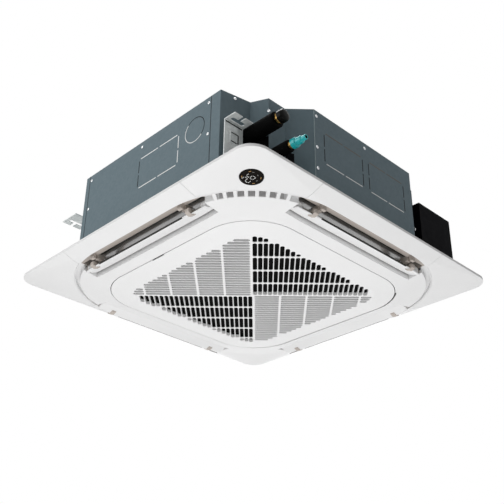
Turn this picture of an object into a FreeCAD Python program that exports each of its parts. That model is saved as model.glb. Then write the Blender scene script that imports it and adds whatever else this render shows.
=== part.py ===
import FreeCAD, Part
import math
import os
import re
from types import SimpleNamespace

import Sketcher

# Four-way ceiling cassette air conditioner, in millimetres.
# The origin is the centre of the four hanger slots, on the brackets' upper faces; +Z is up,
# the piping corner is at (-X, -Y) and the control box at (+X, -Y).

driving_sizes = {
    # casing
    "body_width": 840,
    "body_height": 245,
    "top_above_hanger": 98,
    "sheet_metal": 1.2,
    "notch_length": 111,
    "fold_across": 86,
    "fold_along": 95,
    "shelf_start": 107,
    "shelf_depth": 51,
    "shelf_end": 165,
    "notch_width": 218,
    "box_fold_across": 158,
    "box_fold_along": 63,
    "back_cut": 163,
    "seam_left_front": 275,
    "seam_left_back": 240,
    "knockout_bottom": -51,
    "knockout_height": 95,
    "knockout_slit": 2.4,
    "knockout_bridge": 7,
    "front_knockout_width": 155,
    "front_knockout_gap": 23,
    "left_knockout_width": 163,
    "left_knockout_shift": -73.5,
    "fresh_air_radius": 37,
    "fresh_air_shift": -216,
    "fresh_air_level": 24,
    "screw_radius": 4.2,
    "screw_head": 2,
    "screw_below_top": 9,
    # hanger brackets
    "hanger_inset_x": 30,
    "hanger_inset_y": 80,
    "hanger_slot_radius": 6,
    "hanger_slot_length": 42,
    "hanger_mouth": 9,
    "bracket_sheet": 2.5,
    "bracket_length": 60,
    "bracket_reach": 22,
    # insulation
    "foam_thickness": 22,
    "foam_top": 18,
    "fit_gap": 0.3,
    # ceiling panel
    "panel_width": 950,
    "panel_corner": 50,
    "panel_drop": 23,
    "rim_wall": 7,
    "rim_border": 43,
    "rim_inner_radius": 272,
    "rim_drop": 17,
    "groove_width": 20,
    "deck_radius": 235,
    "deck_drop": 25,
    "deck_border": 89.5,
    "grille_radius": 140,
    "grille_drop": 38.4,
    "field_border": 56.5,
    "field_radius": 84,
    "field_drop": 45,
    "shell": 3,
    "parting_gap": 2,
    "cover_seam": 240,
    "seam_gap": 0.6,
    "groove_depth": 9,
    "vent_slots": 7,
    "vent_pitch": 25,
    "vent_rib": 9,
    "skirt_setback": 8,
    "gasket_thickness": 3,
    "gasket_width": 12,
    # outlets and vanes
    "outlet_end_gap": 22,
    "outlet_border": 24,
    "outlet_across": 50,
    "liner_wall": 2,
    "vane_end_gap": 2.5,
    "vane_edge_gap": 10,
    "vane_sheet": 3,
    "vane_axis_inset": 28,
    "vane_axis_drop": 16,
    "vane_open": 30,
    "vane_pin_radius": 4,
    "vane_eye_radius": 7,
    "running_gap": 0.05,
    "vane_arm_inset": 67,
    "vane_arm_width": 14,
    "arm_finger_drop": 15,
    "arm_finger_depth": 8,
    "vane_lug": 4,
    "stepper_radius": 7,
    "stepper_length": 12,
    # intake grille
    "slot_width": 11.6,
    "slot_length": 70,
    "slot_pitch": 14,
    "slot_row": 75,
    "slot_start": 5,
    "slat_depth": 10,
    "rib_depth": 2,
    "hinge_inset": 30.5,
    "hinge_rise": 5,
    "hinge_relief": 3.6,
    "hinge_place": 150,
    "hinge_pin_radius": 2.5,
    "hinge_arm_width": 12,
    "latch_place": 25,
    "latch_width": 48,
    "latch_travel": 5,
    "filter_margin": 14,
    "filter_frame": 12,
    "filter_depth": 5,
    "filter_ribs": 3,
    # display
    "display_inset": 88,
    "display_radius": 28.5,
    "display_depth": 4,
    # air path
    "fan_radius": 235,
    "fan_blades": 7,
    "fan_height": 146,
    "fan_top": 57,
    "fan_hub_radius": 95,
    "fan_eye_radius": 165,
    "fan_sheet": 3,
    "motor_radius": 68,
    "motor_height": 66,
    "shaft_radius": 6,
    "mount_radius": 12,
    "mount_circle": 54,
    "bell_radius": 158,
    "bell_mouth_radius": 212,
    "bell_plate_width": 600,
    "coil_width": 600,
    "coil_depth": 38,
    "coil_radius": 90,
    "coil_gap": 95,
    "pan_height": 52,
    "pan_hole_width": 470,
    "pan_trough": 25,
    "pump_radius": 28,
    "pump_height": 60,
    "pump_place": 298,
    "float_place": 334,
    "float_across": 258,
    "float_radius": 12,
    "float_stem_radius": 3,
    "float_travel": 10,
    "drain_radius": 16,
    "drain_bore": 12.5,
    "drain_wall": 1.5,
    "drain_level": 28,
    "drain_reach": 42,
    # refrigerant pipes
    "gas_pipe_radius": 8,
    "gas_cover_radius": 21,
    "gas_line": 338,
    "gas_level": -10,
    "gas_cover_end": 423,
    "gas_nut_length": 8,
    "gas_plug_end": 450,
    "liquid_pipe_radius": 4.8,
    "liquid_cover_radius": 16,
    "liquid_line": 296,
    "liquid_level": -66,
    "liquid_cover_end": 424,
    "liquid_nut_length": 9,
    "liquid_plug_end": 475,
    "nut_wall": 6,
    "pipe_plate": 3,
    # control box
    "box_width": 150,
    "box_depth": 38,
    "box_height": 175,
    "box_top": 35,
    "box_front_inset": 16,
    "box_right_inset": 8,
}

doc = FreeCAD.newDocument("cassette")
sheet = doc.addObject("Spreadsheet::Sheet", "sizes")
for row, (alias, value) in enumerate(driving_sizes.items(), start=1):
    sheet.set("A%d" % row, alias)
    sheet.set("B%d" % row, str(value))
    sheet.setAlias("B%d" % row, alias)
doc.recompute()
s = SimpleNamespace(**{alias: float(sheet.get(alias)) for alias in driving_sizes})

vector = FreeCAD.Vector
up = vector(0, 0, 1)
centre = vector(0, 0, 0)
nodes = []

# Levels and half widths that several pieces share
half = s.body_width / 2
body_top = s.top_above_hanger
body_bottom = s.top_above_hanger - s.body_height
rim_low = body_bottom - s.panel_drop
rim_top = rim_low + s.rim_wall
lip_low = rim_low - s.rim_drop
deck_low = rim_low - s.deck_drop
grille_low = rim_low - s.grille_drop
field_low = rim_low - s.field_drop
floor_low = lip_low + s.groove_depth
seal_low = body_bottom - s.gasket_thickness
vane_axis_level = rim_low - s.vane_axis_drop
rim_inner_width = s.panel_width - 2 * s.rim_border
deck_width = rim_inner_width - 2 * s.groove_width
grille_width = deck_width - 2 * s.deck_border
field_width = grille_width - 2 * s.field_border
filter_width = field_width + 2 * s.filter_margin
display_place = s.panel_width / 2 - s.display_inset
outlet_outer = rim_inner_width / 2 - s.outlet_border
outlet_inner = outlet_outer - s.outlet_across
rim_pivot = rim_inner_width / 2 - s.rim_inner_radius
rim_rise = outlet_outer + s.liner_wall - rim_pivot
outlet_length = 2 * (rim_pivot + math.sqrt(s.rim_inner_radius ** 2 - rim_rise ** 2) - s.outlet_end_gap)
vane_length = outlet_length - 2 * s.vane_end_gap
vane_inner = outlet_inner + s.vane_edge_gap
vane_axis_reach = outlet_inner + s.vane_axis_inset
vane_arm_place = outlet_length / 2 - s.vane_arm_inset


# Helpers for objects that are bound to the sheet

def formula(text):
    def cell(word):
        return "sizes." + word.group(0) if word.group(0) in driving_sizes else word.group(0)
    return re.sub(r"[a-z_]+", cell, text)


def bind(thing, **formulas):
    for name, text in formulas.items():
        thing.setExpression(name.replace("__", "."), formula(text))
    return thing


def place(thing, x, y, z):
    return bind(thing, Placement__Base__x=x, Placement__Base__y=y, Placement__Base__z=z)


def box(name, length, width, height, x, y, z):
    """A box centred on x and y, standing on z."""
    thing = bind(doc.addObject("Part::Box", name), Length=length, Width=width, Height=height)
    return place(thing, "%s - (%s) / 2" % (x, length), "%s - (%s) / 2" % (y, width), z)


def cylinder(name, radius, height, x, y, z, axis=up):
    thing = bind(doc.addObject("Part::Cylinder", name), Radius=radius, Height=height)
    thing.Placement.Rotation = FreeCAD.Rotation(up, axis)
    return place(thing, x, y, z)


def cone(name, low_radius, high_radius, height, x, y, z, axis=up):
    thing = bind(doc.addObject("Part::Cone", name), Radius1=low_radius, Radius2=high_radius, Height=height)
    thing.Placement.Rotation = FreeCAD.Rotation(up, axis)
    return place(thing, x, y, z)


def hexagon(name, across, height, x, y, z, axis):
    thing = bind(doc.addObject("Part::Prism", name), Circumradius=across, Height=height)
    thing.Polygon = 6
    thing.Placement.Rotation = FreeCAD.Rotation(up, axis)
    return place(thing, x, y, z)


def fuse(name, *shapes):
    thing = doc.addObject("Part::MultiFuse", name)
    thing.Shapes = list(shapes)
    return thing


def cut(name, base, *tools):
    thing = doc.addObject("Part::Cut", name)
    thing.Base = base
    thing.Tool = tools[0] if len(tools) == 1 else fuse(name + "_tools", *tools)
    return thing


def common(name, base, tool):
    thing = doc.addObject("Part::Common", name)
    thing.Base = base
    thing.Tool = tool
    return thing


def group(name, *shapes):
    thing = doc.addObject("Part::Compound", name)
    thing.Links = list(shapes)
    return thing


def mirror(name, source, normal):
    thing = doc.addObject("Part::Mirroring", name)
    thing.Source = source
    thing.Normal = normal
    return thing


def outline(name, points):
    """A closed sketch whose corners are bound to the sheet."""
    sketch = doc.addObject("Sketcher::SketchObject", name)
    count = len(points)
    ring = [vector(math.cos(math.tau * i / count), math.sin(math.tau * i / count), 0) for i in range(count)]
    for i in range(count):
        sketch.addGeometry(Part.LineSegment(ring[i] * half, ring[(i + 1) % count] * half), False)
    for i in range(count):
        sketch.addConstraint(Sketcher.Constraint("Coincident", i, 2, (i + 1) % count, 1))
    for i, (x, y) in enumerate(points):
        for kind, text, start in (("DistanceX", x, ring[i].x * half), ("DistanceY", y, ring[i].y * half)):
            index = sketch.addConstraint(Sketcher.Constraint(kind, -1, 1, i, 1, start))
            sketch.setExpression("Constraints[%d]" % index, formula(text))
    return sketch


def extrude(name, profile, height, z):
    thing = doc.addObject("Part::Extrusion", name)
    thing.Base = profile
    thing.DirMode = "Custom"
    thing.Dir = up
    thing.Solid = True
    bind(thing, LengthFwd=height, Placement__Base__z=z)
    return thing


def inset(name, profile, distance):
    thing = doc.addObject("Part::Offset2D", name)
    thing.Source = profile
    thing.Join = "Intersection"
    return bind(thing, Value="-(%s)" % distance)


def solid(name, shape, turn=0):
    """A piece whose shape is made below, turned about Z to its side."""
    thing = doc.addObject("Part::Feature", name)
    thing.Shape = shape
    thing.Placement = FreeCAD.Placement(centre, FreeCAD.Rotation(up, turn)).multiply(shape.Placement)
    return thing


def node(thing, label):
    thing.Label = label
    nodes.append((label, thing))
    return thing


# Helpers for shapes made in code

def block(low, high):
    return Part.makeBox(high[0] - low[0], high[1] - low[1], high[2] - low[2], vector(*low))


def bar(radius, start, end):
    way = vector(*end) - vector(*start)
    return Part.makeCylinder(radius, way.Length, vector(*start), way)


def rounded(width, radius, z):
    """A square wire with rounded corners."""
    edge = width / 2
    flat = edge - radius
    turn = radius * math.sqrt(0.5)
    edges = []
    for quarter in range(4):
        spin = FreeCAD.Rotation(up, 90 * quarter)
        corner = [vector(edge, flat, z), vector(flat + turn, flat + turn, z), vector(flat, edge, z)]
        first, middle, last = [spin.multVec(point) for point in corner]
        edges.append(Part.LineSegment(spin.multVec(vector(edge, -flat, z)), first).toShape())
        edges.append(Part.Arc(first, middle, last).toShape())
    return Part.Wire(edges)


def prism(width, radius, low, high):
    return Part.Face(rounded(width, radius, low)).extrude(vector(0, 0, high - low))


def ring(outer, outer_radius, inner, inner_radius, low, high):
    return prism(outer, outer_radius, low, high).cut(prism(inner, inner_radius, low, high))


def dome(width, radius, z, low_width, low_radius, low_z, rise):
    """A shallow dome: a prism on top of a ruled loft that narrows downwards."""
    loft = Part.makeLoft([rounded(width, radius, z), rounded(low_width, low_radius, low_z)], True, True)
    return prism(width, radius, z, z + rise).fuse(loft)


def lifted(shape, height):
    copy = shape.copy()
    copy.translate(vector(0, 0, height))
    return copy


def around(shapes):
    """Each shape at all four sides."""
    copies = []
    for shape in shapes:
        for quarter in range(4):
            copy = shape.copy()
            copy.rotate(centre, up, 90 * quarter)
            copies.append(copy)
    return copies


# Casing: one folded outline, cut into plates at its seams

edge = "body_width / 2"
body_outline = outline("body_outline", [
    ("-%s" % edge, "-%s + notch_length" % edge),
    ("-%s + fold_across" % edge, "-%s + fold_along" % edge),
    ("-%s + shelf_start" % edge, "-%s + shelf_depth" % edge),
    ("-%s + shelf_end" % edge, "-%s + shelf_depth" % edge),
    ("-%s + notch_width" % edge, "-%s" % edge),
    ("%s - notch_width" % edge, "-%s" % edge),
    ("%s - box_fold_across" % edge, "-%s + box_fold_along" % edge),
    ("%s - fold_across" % edge, "-%s + fold_along" % edge),
    (edge, "-%s + notch_length" % edge),
    (edge, "%s - back_cut" % edge),
    ("%s - back_cut" % edge, edge),
    ("-%s + back_cut" % edge, edge),
    ("-%s" % edge, "%s - back_cut" % edge),
])
floor_level = "top_above_hanger - body_height"
casing_block = extrude("casing_block", body_outline, "body_height", floor_level)
casing_hollow = extrude("casing_hollow", inset("hollow_outline", body_outline, "sheet_metal"),
                        "body_height - sheet_metal", floor_level)
casing_shell = cut("casing_shell", casing_block, casing_hollow)
wall_height = "body_height - sheet_metal"
casing_wall = common("casing_wall", casing_shell,
                     box("wall_zone", "2 * body_width", "2 * body_width", wall_height, "0", "0", floor_level))
node(common("top_plate", casing_shell,
            box("top_zone", "2 * body_width", "2 * body_width", "sheet_metal", "0", "0",
                "top_above_hanger - sheet_metal")), "top_plate")


def slit(name, length, along, side, x, y, z):
    """A cut through a side wall, along the wall or upright."""
    through = "4 * sheet_metal"
    long_way = length if along else "knockout_slit"
    tall_way = "knockout_slit" if along else length
    if side == "front":
        return box(name, long_way, through, tall_way, x, y, z)
    return box(name, through, long_way, tall_way, x, y, z)


def knockout(name, side, width, middle):
    """A rectangular knock-out: slits round its edge with a bridge at each corner and mid-side."""
    cuts = []
    run = "((%s) / 2 - 1.5 * knockout_bridge)" % width
    rise = "(knockout_height / 2 - 1.5 * knockout_bridge)"
    for sign in ("-", "+"):
        for level in ("knockout_bottom", "knockout_bottom + knockout_height - knockout_slit"):
            along = "%s %s ((%s) / 4 - knockout_bridge / 4)" % (middle, sign, width)
            x, y = (along, "-body_width / 2") if side == "front" else ("-body_width / 2", along)
            cuts.append(slit("%s_run%d" % (name, len(cuts)), run, True, side, x, y, level))
        for start in ("knockout_bridge", "knockout_height / 2 + knockout_bridge / 2"):
            along = "%s %s ((%s) / 2 - knockout_slit / 2)" % (middle, sign, width)
            x, y = (along, "-body_width / 2") if side == "front" else ("-body_width / 2", along)
            cuts.append(slit("%s_rise%d" % (name, len(cuts)), rise, False, side, x, y,
                             "knockout_bottom + %s" % start))
    return cuts


def fresh_air_knockout():
    """A round knock-out: a ring slit crossed by four bridges."""
    place_at = ("-body_width / 2 - 2 * sheet_metal", "fresh_air_shift", "fresh_air_level")
    rim = cylinder("fresh_rim", "fresh_air_radius", "4 * sheet_metal", *place_at, axis=vector(1, 0, 0))
    core = cylinder("fresh_core", "fresh_air_radius - knockout_slit", "4 * sheet_metal", *place_at,
                    axis=vector(1, 0, 0))
    bridges = [box("fresh_bridge_a", "6 * sheet_metal", "3 * fresh_air_radius", "knockout_bridge",
                   "-body_width / 2", "fresh_air_shift", "fresh_air_level - knockout_bridge / 2"),
               box("fresh_bridge_b", "6 * sheet_metal", "knockout_bridge", "3 * fresh_air_radius",
                   "-body_width / 2", "fresh_air_shift", "fresh_air_level - 1.5 * fresh_air_radius")]
    return cut("fresh_air_slits", rim, core, *bridges)


def plate(label, x_low, x_high, y_low, y_high, cuts=()):
    zone = box(label + "_zone", "(%s) - (%s)" % (x_high, x_low), "(%s) - (%s)" % (y_high, y_low),
               "2 * body_height", "((%s) + (%s)) / 2" % (x_high, x_low),
               "((%s) + (%s)) / 2" % (y_high, y_low), "%s - body_height / 2" % floor_level)
    piece = common(label if not cuts else label + "_blank", casing_wall, zone)
    return node(cut(label, piece, *cuts) if cuts else piece, label)


far = "body_width"
flat_front = "(body_width / 2 - notch_width)"
flat_back = "(body_width / 2 - back_cut)"
plate("side_plate_front", "-" + flat_front, flat_front, "-" + far, "-%s + shelf_depth / 2" % edge,
      knockout("front_knockout_a", "front", "front_knockout_width",
               "-(front_knockout_gap + front_knockout_width) / 2")
      + knockout("front_knockout_b", "front", "front_knockout_width",
                 "(front_knockout_gap + front_knockout_width) / 2"))
plate("side_plate_left", "-" + far, "-%s + sheet_metal" % edge, "-seam_left_front", "seam_left_back",
      knockout("left_knockout", "left", "left_knockout_width", "left_knockout_shift")
      + [fresh_air_knockout()])
plate("side_plate_back", "-" + flat_back, flat_back, "%s - sheet_metal" % edge, far)
plate("side_plate_right", "%s - sheet_metal" % edge, far, "-seam_left_front", "seam_left_back")

pipe_holes = [
    cylinder("gas_hole", "gas_cover_radius + fit_gap", "2 * shelf_depth", "-gas_line",
             "-%s + notch_length + foam_thickness" % edge, "gas_level", vector(0, -1, 0)),
    cylinder("liquid_hole", "liquid_cover_radius + fit_gap", "shelf_depth", "-liquid_line",
             "-%s + 1.5 * shelf_depth" % edge, "liquid_level", vector(0, -1, 0)),
]
plate("corner_plate_piping", "-" + far, "-" + flat_front, "-" + far, "-seam_left_front", pipe_holes)
plate("corner_plate_control", flat_front, far, "-" + far, "-seam_left_front")
drain_way = vector(1, 1, 0) / math.sqrt(2)
drain_room = "drain_bore + drain_wall + fit_gap"
drain_hole = cylinder("drain_hole", drain_room, "foam_thickness * 4", "pump_place", "pump_place",
                      "drain_level", drain_way)
plate("corner_plate_back_right", flat_back, far, "seam_left_back", far, [drain_hole])
plate("corner_plate_back_left", "-" + far, "-" + flat_back, "seam_left_back", far)


def casing_screws():
    """Screw heads on the side plates, in the rows that the seams and the top fold need."""
    heads = []
    low_row = "top_above_hanger - body_height / 2 + screw_below_top"
    top_row = "top_above_hanger - 2 * screw_below_top"
    for side, way in (("front", vector(0, -1, 0)), ("back", vector(0, 1, 0)),
                      ("left", vector(-1, 0, 0)), ("right", vector(1, 0, 0))):
        if side in ("front", "back"):
            spots = [("0", top_row)]
            for level in (top_row, low_row, "top_above_hanger - body_height * 0.72"):
                spots.append(("-%s + 2 * screw_radius" % flat_front, level))
        else:
            spots = [("0", top_row)]
            for level in (top_row, low_row):
                spots += [("-seam_left_front + 2 * screw_radius", level),
                          ("seam_left_back - 2 * screw_radius", level)]
        for along, level in spots:
            sign = "-" if side in ("front", "left") else ""
            face = "%sbody_width / 2" % sign
            x, y = (along, face) if side in ("front", "back") else (face, along)
            name = "screw_%s_%d" % (side, len(heads))
            heads.append(cone(name, "screw_radius", "screw_radius * 0.7", "screw_head", x, y, level, way))
    return group("casing_screws", *heads)


node(casing_screws(), "casing_screws")


# Insulation inside the casing

foam_block = extrude("foam_block", inset("foam_outline", body_outline, "sheet_metal + fit_gap"),
                     "body_height - sheet_metal - fit_gap", floor_level)
foam_hollow = extrude("foam_hollow",
                      inset("cavity_outline", body_outline, "sheet_metal + fit_gap + foam_thickness"),
                      "body_height - sheet_metal - fit_gap - foam_top", floor_level)
node(cut("foam_liner", foam_block, foam_hollow,
         cylinder("foam_gas_hole", "gas_cover_radius + fit_gap", "6 * foam_thickness", "-gas_line",
                  "-%s + notch_length + 2 * foam_thickness" % edge, "gas_level", vector(0, -1, 0)),
         cylinder("foam_liquid_hole", "liquid_cover_radius + fit_gap", "3 * shelf_depth", "-liquid_line",
                  "-%s + 3 * shelf_depth" % edge, "liquid_level", vector(0, -1, 0)),
         cylinder("foam_drain_hole", drain_room, "foam_thickness * 6", "pump_place", "pump_place",
                  "drain_level", drain_way),
         cylinder("foam_motor_hole", "motor_radius + 4 * fit_gap", "2 * foam_top", "0", "0",
                  "top_above_hanger - sheet_metal - fit_gap - 1.5 * foam_top")), "foam_liner")


# Hanger brackets

rod_x = half - s.hanger_inset_x
rod_y = half - s.hanger_inset_y
rod_places = [(x, y) for x in (-rod_x, rod_x) for y in (-rod_y, rod_y)]


def hanger_flange(low_y, high_y):
    """A flange at the front left, with the slot along X and a mouth to its outer edge."""
    flange = block((-rod_x - s.bracket_length / 2, low_y, -s.bracket_sheet),
                   (-rod_x + s.bracket_length / 2, high_y, 0))
    run = s.hanger_slot_length / 2 - s.hanger_slot_radius
    below = -2 * s.bracket_sheet
    slot = block((-rod_x - run, -rod_y - s.hanger_slot_radius, below),
                 (-rod_x + run, -rod_y + s.hanger_slot_radius, -below))
    for end in (-run, run):
        x = -rod_x + end
        slot = slot.fuse(bar(s.hanger_slot_radius, (x, -rod_y, below), (x, -rod_y, -below)))
    mouth = block((-rod_x - s.hanger_mouth / 2, low_y - 1, below),
                  (-rod_x + s.hanger_mouth / 2, -rod_y, -below))
    return flange.cut(slot.fuse(mouth))


def bracket_foot(wall_y):
    """A foot for the panel screw, at the casing's lower edge."""
    foot = block((-rod_x - s.bracket_length / 2, -rod_y - s.bracket_reach, body_bottom),
                 (-rod_x + s.bracket_length / 2, wall_y, body_bottom + s.bracket_sheet))
    return foot.cut(bar(s.screw_radius, (-rod_x, -rod_y, body_bottom - 1),
                        (-rod_x, -rod_y, body_bottom + 2 * s.bracket_sheet)))


def front_bracket():
    wall_y = -half + s.fold_along
    upright = block((-rod_x - s.bracket_length / 2, wall_y - s.bracket_sheet, body_bottom),
                    (-rod_x + s.bracket_length / 2, wall_y, 0))
    weld_x = -rod_x + s.bracket_length / 2 - s.bracket_sheet
    weld_y = wall_y + (half - s.fold_across + weld_x) / -s.fold_across * (s.notch_length - s.fold_along)
    weld = block((weld_x - s.bracket_sheet, wall_y - s.bracket_sheet, body_bottom),
                 (weld_x, weld_y - s.fit_gap, 0))
    tab = block((-rod_x - s.bracket_length / 4, wall_y - 3 * s.bracket_sheet, -s.bracket_length),
                (-rod_x + s.bracket_length / 4, wall_y - s.bracket_sheet, -s.bracket_length / 2))
    window = block((-rod_x - s.bracket_length / 4 + 2, wall_y - 4 * s.bracket_sheet, -s.bracket_length - 1),
                   (-rod_x + s.bracket_length / 4 - 2, wall_y - 2 * s.bracket_sheet, -s.bracket_length / 2 - 2))
    return (upright.fuse([hanger_flange(-rod_y - s.bracket_reach, wall_y), bracket_foot(wall_y), tab, weld])
            .cut(window).removeSplitter())


def back_bracket():
    """The same bracket on the slanted back corner, drawn at the front left and then mirrored."""
    across = (s.body_width - s.back_cut) / math.sqrt(2)
    wide = s.bracket_length + s.bracket_reach
    casing = block((-2 * half, -across, -s.body_height), (2 * half, across, s.body_height))
    casing.rotate(centre, up, -45)
    upright = block((-wide / 2, -across - s.bracket_sheet, body_bottom), (wide / 2, -across, 0))
    upright.translate(vector((rod_y - rod_x) / math.sqrt(2), 0, 0))
    upright.rotate(centre, up, -45)
    inner_y = -rod_y + 2 * s.bracket_reach
    flange = hanger_flange(-rod_y - s.bracket_reach, inner_y)
    return upright.fuse([flange.cut(casing), bracket_foot(inner_y).cut(casing)]).removeSplitter()


front_left = node(solid("hanger_bracket_front_left", front_bracket()), "hanger_bracket_front_left")
node(mirror("hanger_bracket_front_right", front_left, vector(1, 0, 0)), "hanger_bracket_front_right")
back_left_source = solid("back_bracket_source", back_bracket())
back_left = mirror("hanger_bracket_back_left", back_left_source, vector(0, 1, 0))
node(back_left, "hanger_bracket_back_left")
node(mirror("hanger_bracket_back_right", back_left, vector(1, 0, 0)), "hanger_bracket_back_right")


# Ceiling panel: a sloped rim, four corner covers, and a domed deck round the intake

def rim_shape():
    form = dome(s.panel_width, s.panel_corner, rim_low, rim_inner_width, s.rim_inner_radius, lip_low,
                s.rim_wall)
    room = dome(s.panel_width, s.panel_corner, rim_low, rim_inner_width, s.rim_inner_radius, lip_low,
                s.rim_wall + s.shell)
    cavity = lifted(room, s.shell).common(
        prism(s.panel_width - 2 * s.shell, s.panel_corner - s.shell, lip_low, rim_top + s.shell))
    cavity = cavity.cut(prism(rim_inner_width + 2 * s.shell, s.rim_inner_radius + s.shell,
                              lip_low - 1, rim_top + 2 * s.shell))
    hole = prism(rim_inner_width, s.rim_inner_radius, lip_low - 1, rim_top + 1)
    return form.cut(hole).cut(cavity)


def quadrant(start):
    return block((-s.panel_width, -s.panel_width, lip_low - s.body_height),
                 (-start, -start, body_top))


rim = rim_shape()
lip_zone = prism(rim_inner_width + 2 * s.shell + s.seam_gap, s.rim_inner_radius + s.shell + s.seam_gap / 2,
                 lip_low - 1, rim_top + 1)
deck_form = dome(deck_width, s.deck_radius, deck_low, grille_width, s.grille_radius, grille_low, s.groove_depth)
deck_shell = deck_form.cut(lifted(deck_form, s.shell))
grille_hole_width = grille_width + 2 * s.parting_gap
grille_hole_radius = s.grille_radius + s.parting_gap


def outlet_zone(inner, outer, length, low, high):
    """The box of one outlet, at the front side."""
    return block((-length / 2, -outer, low), (length / 2, -inner, high))


def vent_ribs():
    """Ribs across the groove at one corner, fanned about the corner's centre."""
    middle_radius = s.rim_inner_radius - (rim_inner_width - deck_width) / 4
    step = math.degrees(s.vent_pitch / middle_radius)
    band = ring(rim_inner_width, s.rim_inner_radius, deck_width - s.shell, s.deck_radius - s.shell / 2,
                deck_low, floor_low + s.shell / 2)
    slope = dome(rim_inner_width, s.rim_inner_radius, lip_low, deck_width, s.deck_radius, deck_low,
                 s.groove_depth + s.shell)
    band = band.common(slope)
    count = int(s.vent_slots) + 1
    ribs = []
    for i in range(count):
        rib = block((-s.vent_rib / 2, -s.panel_width / 2, deck_low), (s.vent_rib / 2, 0, rim_top))
        rib.rotate(centre, up, -45 + (i - (count - 1) / 2) * step)
        rib.translate(vector(-rim_pivot, -rim_pivot, 0))
        ribs.append(rib.common(band))
    return ribs


def hinge_arms():
    """Two arms that hang from the inner skirt and hold the grille's hinge pins."""
    axis_x = grille_width / 2 - s.hinge_inset
    axis_z = grille_low + s.hinge_rise
    tab_z = grille_low + 1.5 * s.hinge_inset
    arms = []
    for side in (-1, 1):
        y = side * s.hinge_place
        thick = s.hinge_pin_radius + 2
        arm = block((axis_x - thick, y - s.hinge_arm_width / 2, axis_z),
                    (axis_x + thick, y + s.hinge_arm_width / 2, tab_z + s.shell))
        tab = block((axis_x - thick, y - s.hinge_arm_width / 2, tab_z),
                    (grille_hole_width / 2 + s.skirt_setback + s.shell / 2, y + s.hinge_arm_width / 2,
                     tab_z + s.shell))
        eye = bar(thick, (axis_x, y - s.hinge_arm_width / 2, axis_z),
                  (axis_x, y + s.hinge_arm_width / 2, axis_z))
        hole = bar(s.hinge_pin_radius + s.running_gap, (axis_x, y - s.hinge_arm_width, axis_z),
                   (axis_x, y + s.hinge_arm_width, axis_z))
        arms.append(arm.fuse([tab, eye]).cut(hole))
    return arms


def stepper_bar(radius, length):
    """A vane motor's cylinder, at the front side's right end."""
    start = outlet_length / 2 + s.fit_gap - (radius - s.stepper_radius)
    end = outlet_length / 2 + s.fit_gap + length
    return bar(radius, (start, -vane_axis_reach, vane_axis_level), (end, -vane_axis_reach, vane_axis_level))


def panel_frame():
    sides = rim
    for cover in around([quadrant(s.cover_seam - s.seam_gap / 2)]):
        sides = sides.cut(cover.cut(prism(rim_inner_width + 2 * s.shell, s.rim_inner_radius + s.shell,
                                          lip_low - 2, rim_top + 2)))
    back = ring(s.panel_width - 2 * s.shell - s.seam_gap, s.panel_corner - s.shell - s.seam_gap / 2,
                rim_inner_width, s.rim_inner_radius, rim_top - s.shell, rim_top)
    skirt_inner = deck_width - 2 * s.shell
    skirt_radius = s.deck_radius - s.shell
    floor = ring(rim_inner_width + s.shell, s.rim_inner_radius + s.shell / 2, skirt_inner, skirt_radius,
                 floor_low, floor_low + s.shell)
    skirt = ring(deck_width, s.deck_radius, skirt_inner, skirt_radius, deck_low, floor_low + s.shell)
    deck = deck_shell.cut(prism(grille_hole_width, grille_hole_radius, grille_low - 1, rim_top))
    relief = prism(grille_hole_width + 2 * s.hinge_relief, grille_hole_radius + s.hinge_relief,
                   grille_low - 1, rim_top)
    hinge_side = block(((grille_width - 3 * s.hinge_inset) / 2, -s.panel_width, field_low),
                       (s.panel_width, s.panel_width, rim_top))
    deck = deck.cut(relief.common(hinge_side))
    skirt_hole = grille_hole_width + 2 * s.skirt_setback
    skirt_hole_radius = grille_hole_radius + s.skirt_setback
    inner_skirt = ring(skirt_hole + 2 * s.shell, skirt_hole_radius + s.shell, skirt_hole, skirt_hole_radius,
                       grille_low + s.shell, seal_low)
    middle = deck.fuse([skirt, floor, inner_skirt])
    lip_reach = rim_inner_width / 2 + s.shell
    holes = around([outlet_zone(outlet_inner, lip_reach, outlet_length, field_low, rim_top)])
    middle = middle.cut(Part.makeCompound(holes))
    sill = outlet_zone(outlet_inner - s.shell, outlet_inner, outlet_length + 2 * s.shell,
                       grille_low + s.shell, floor_low).common(deck_form)
    ends = [block((low, -deck_width / 2, grille_low), (low + s.shell, -outlet_inner + s.shell, floor_low))
            .common(deck_form) for low in (-outlet_length / 2 - s.shell, outlet_length / 2)]
    edge_walls = around([sill] + ends)
    whole = sides.fuse([back, middle] + edge_walls + vent_ribs() + hinge_arms())
    screws = [bar(s.screw_radius, (x, y, rim_low), (x, y, body_bottom)) for x, y in rod_places]
    motor_rooms = around([stepper_bar(s.stepper_radius + s.fit_gap, s.stepper_length + s.fit_gap)])
    return whole.cut(Part.makeCompound(screws)).cut(Part.makeCompound(motor_rooms)).removeSplitter()


node(solid("panel_frame", panel_frame()), "panel_frame")


# Display: a round lens in the piping corner's cover

corner_reach = (s.panel_width / 2 - s.panel_corner) * math.sqrt(2) + s.panel_corner
lip_corner = rim_pivot * math.sqrt(2) + s.rim_inner_radius
display_reach = display_place * math.sqrt(2)
rim_slope = math.atan2(s.rim_drop, corner_reach - lip_corner)
display_spot = vector(-display_place, -display_place,
                      rim_low - (corner_reach - display_reach) * math.tan(rim_slope))
lean = math.sin(rim_slope) / math.sqrt(2)
display_way = vector(-lean, -lean, -math.cos(rim_slope))


def display_disc(radius, front, back):
    """A disc square to the rim there, from in front of its face to behind it."""
    return Part.makeCylinder(radius, front + back, display_spot - display_way * back, display_way)


def corner_cover(turn):
    cover = rim.common(quadrant(s.cover_seam + s.seam_gap / 2)).cut(lip_zone)
    if turn == 0:
        cover = cover.cut(display_disc(s.display_radius + s.fit_gap, 2 * s.rim_drop, s.rim_drop))
    return cover


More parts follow.
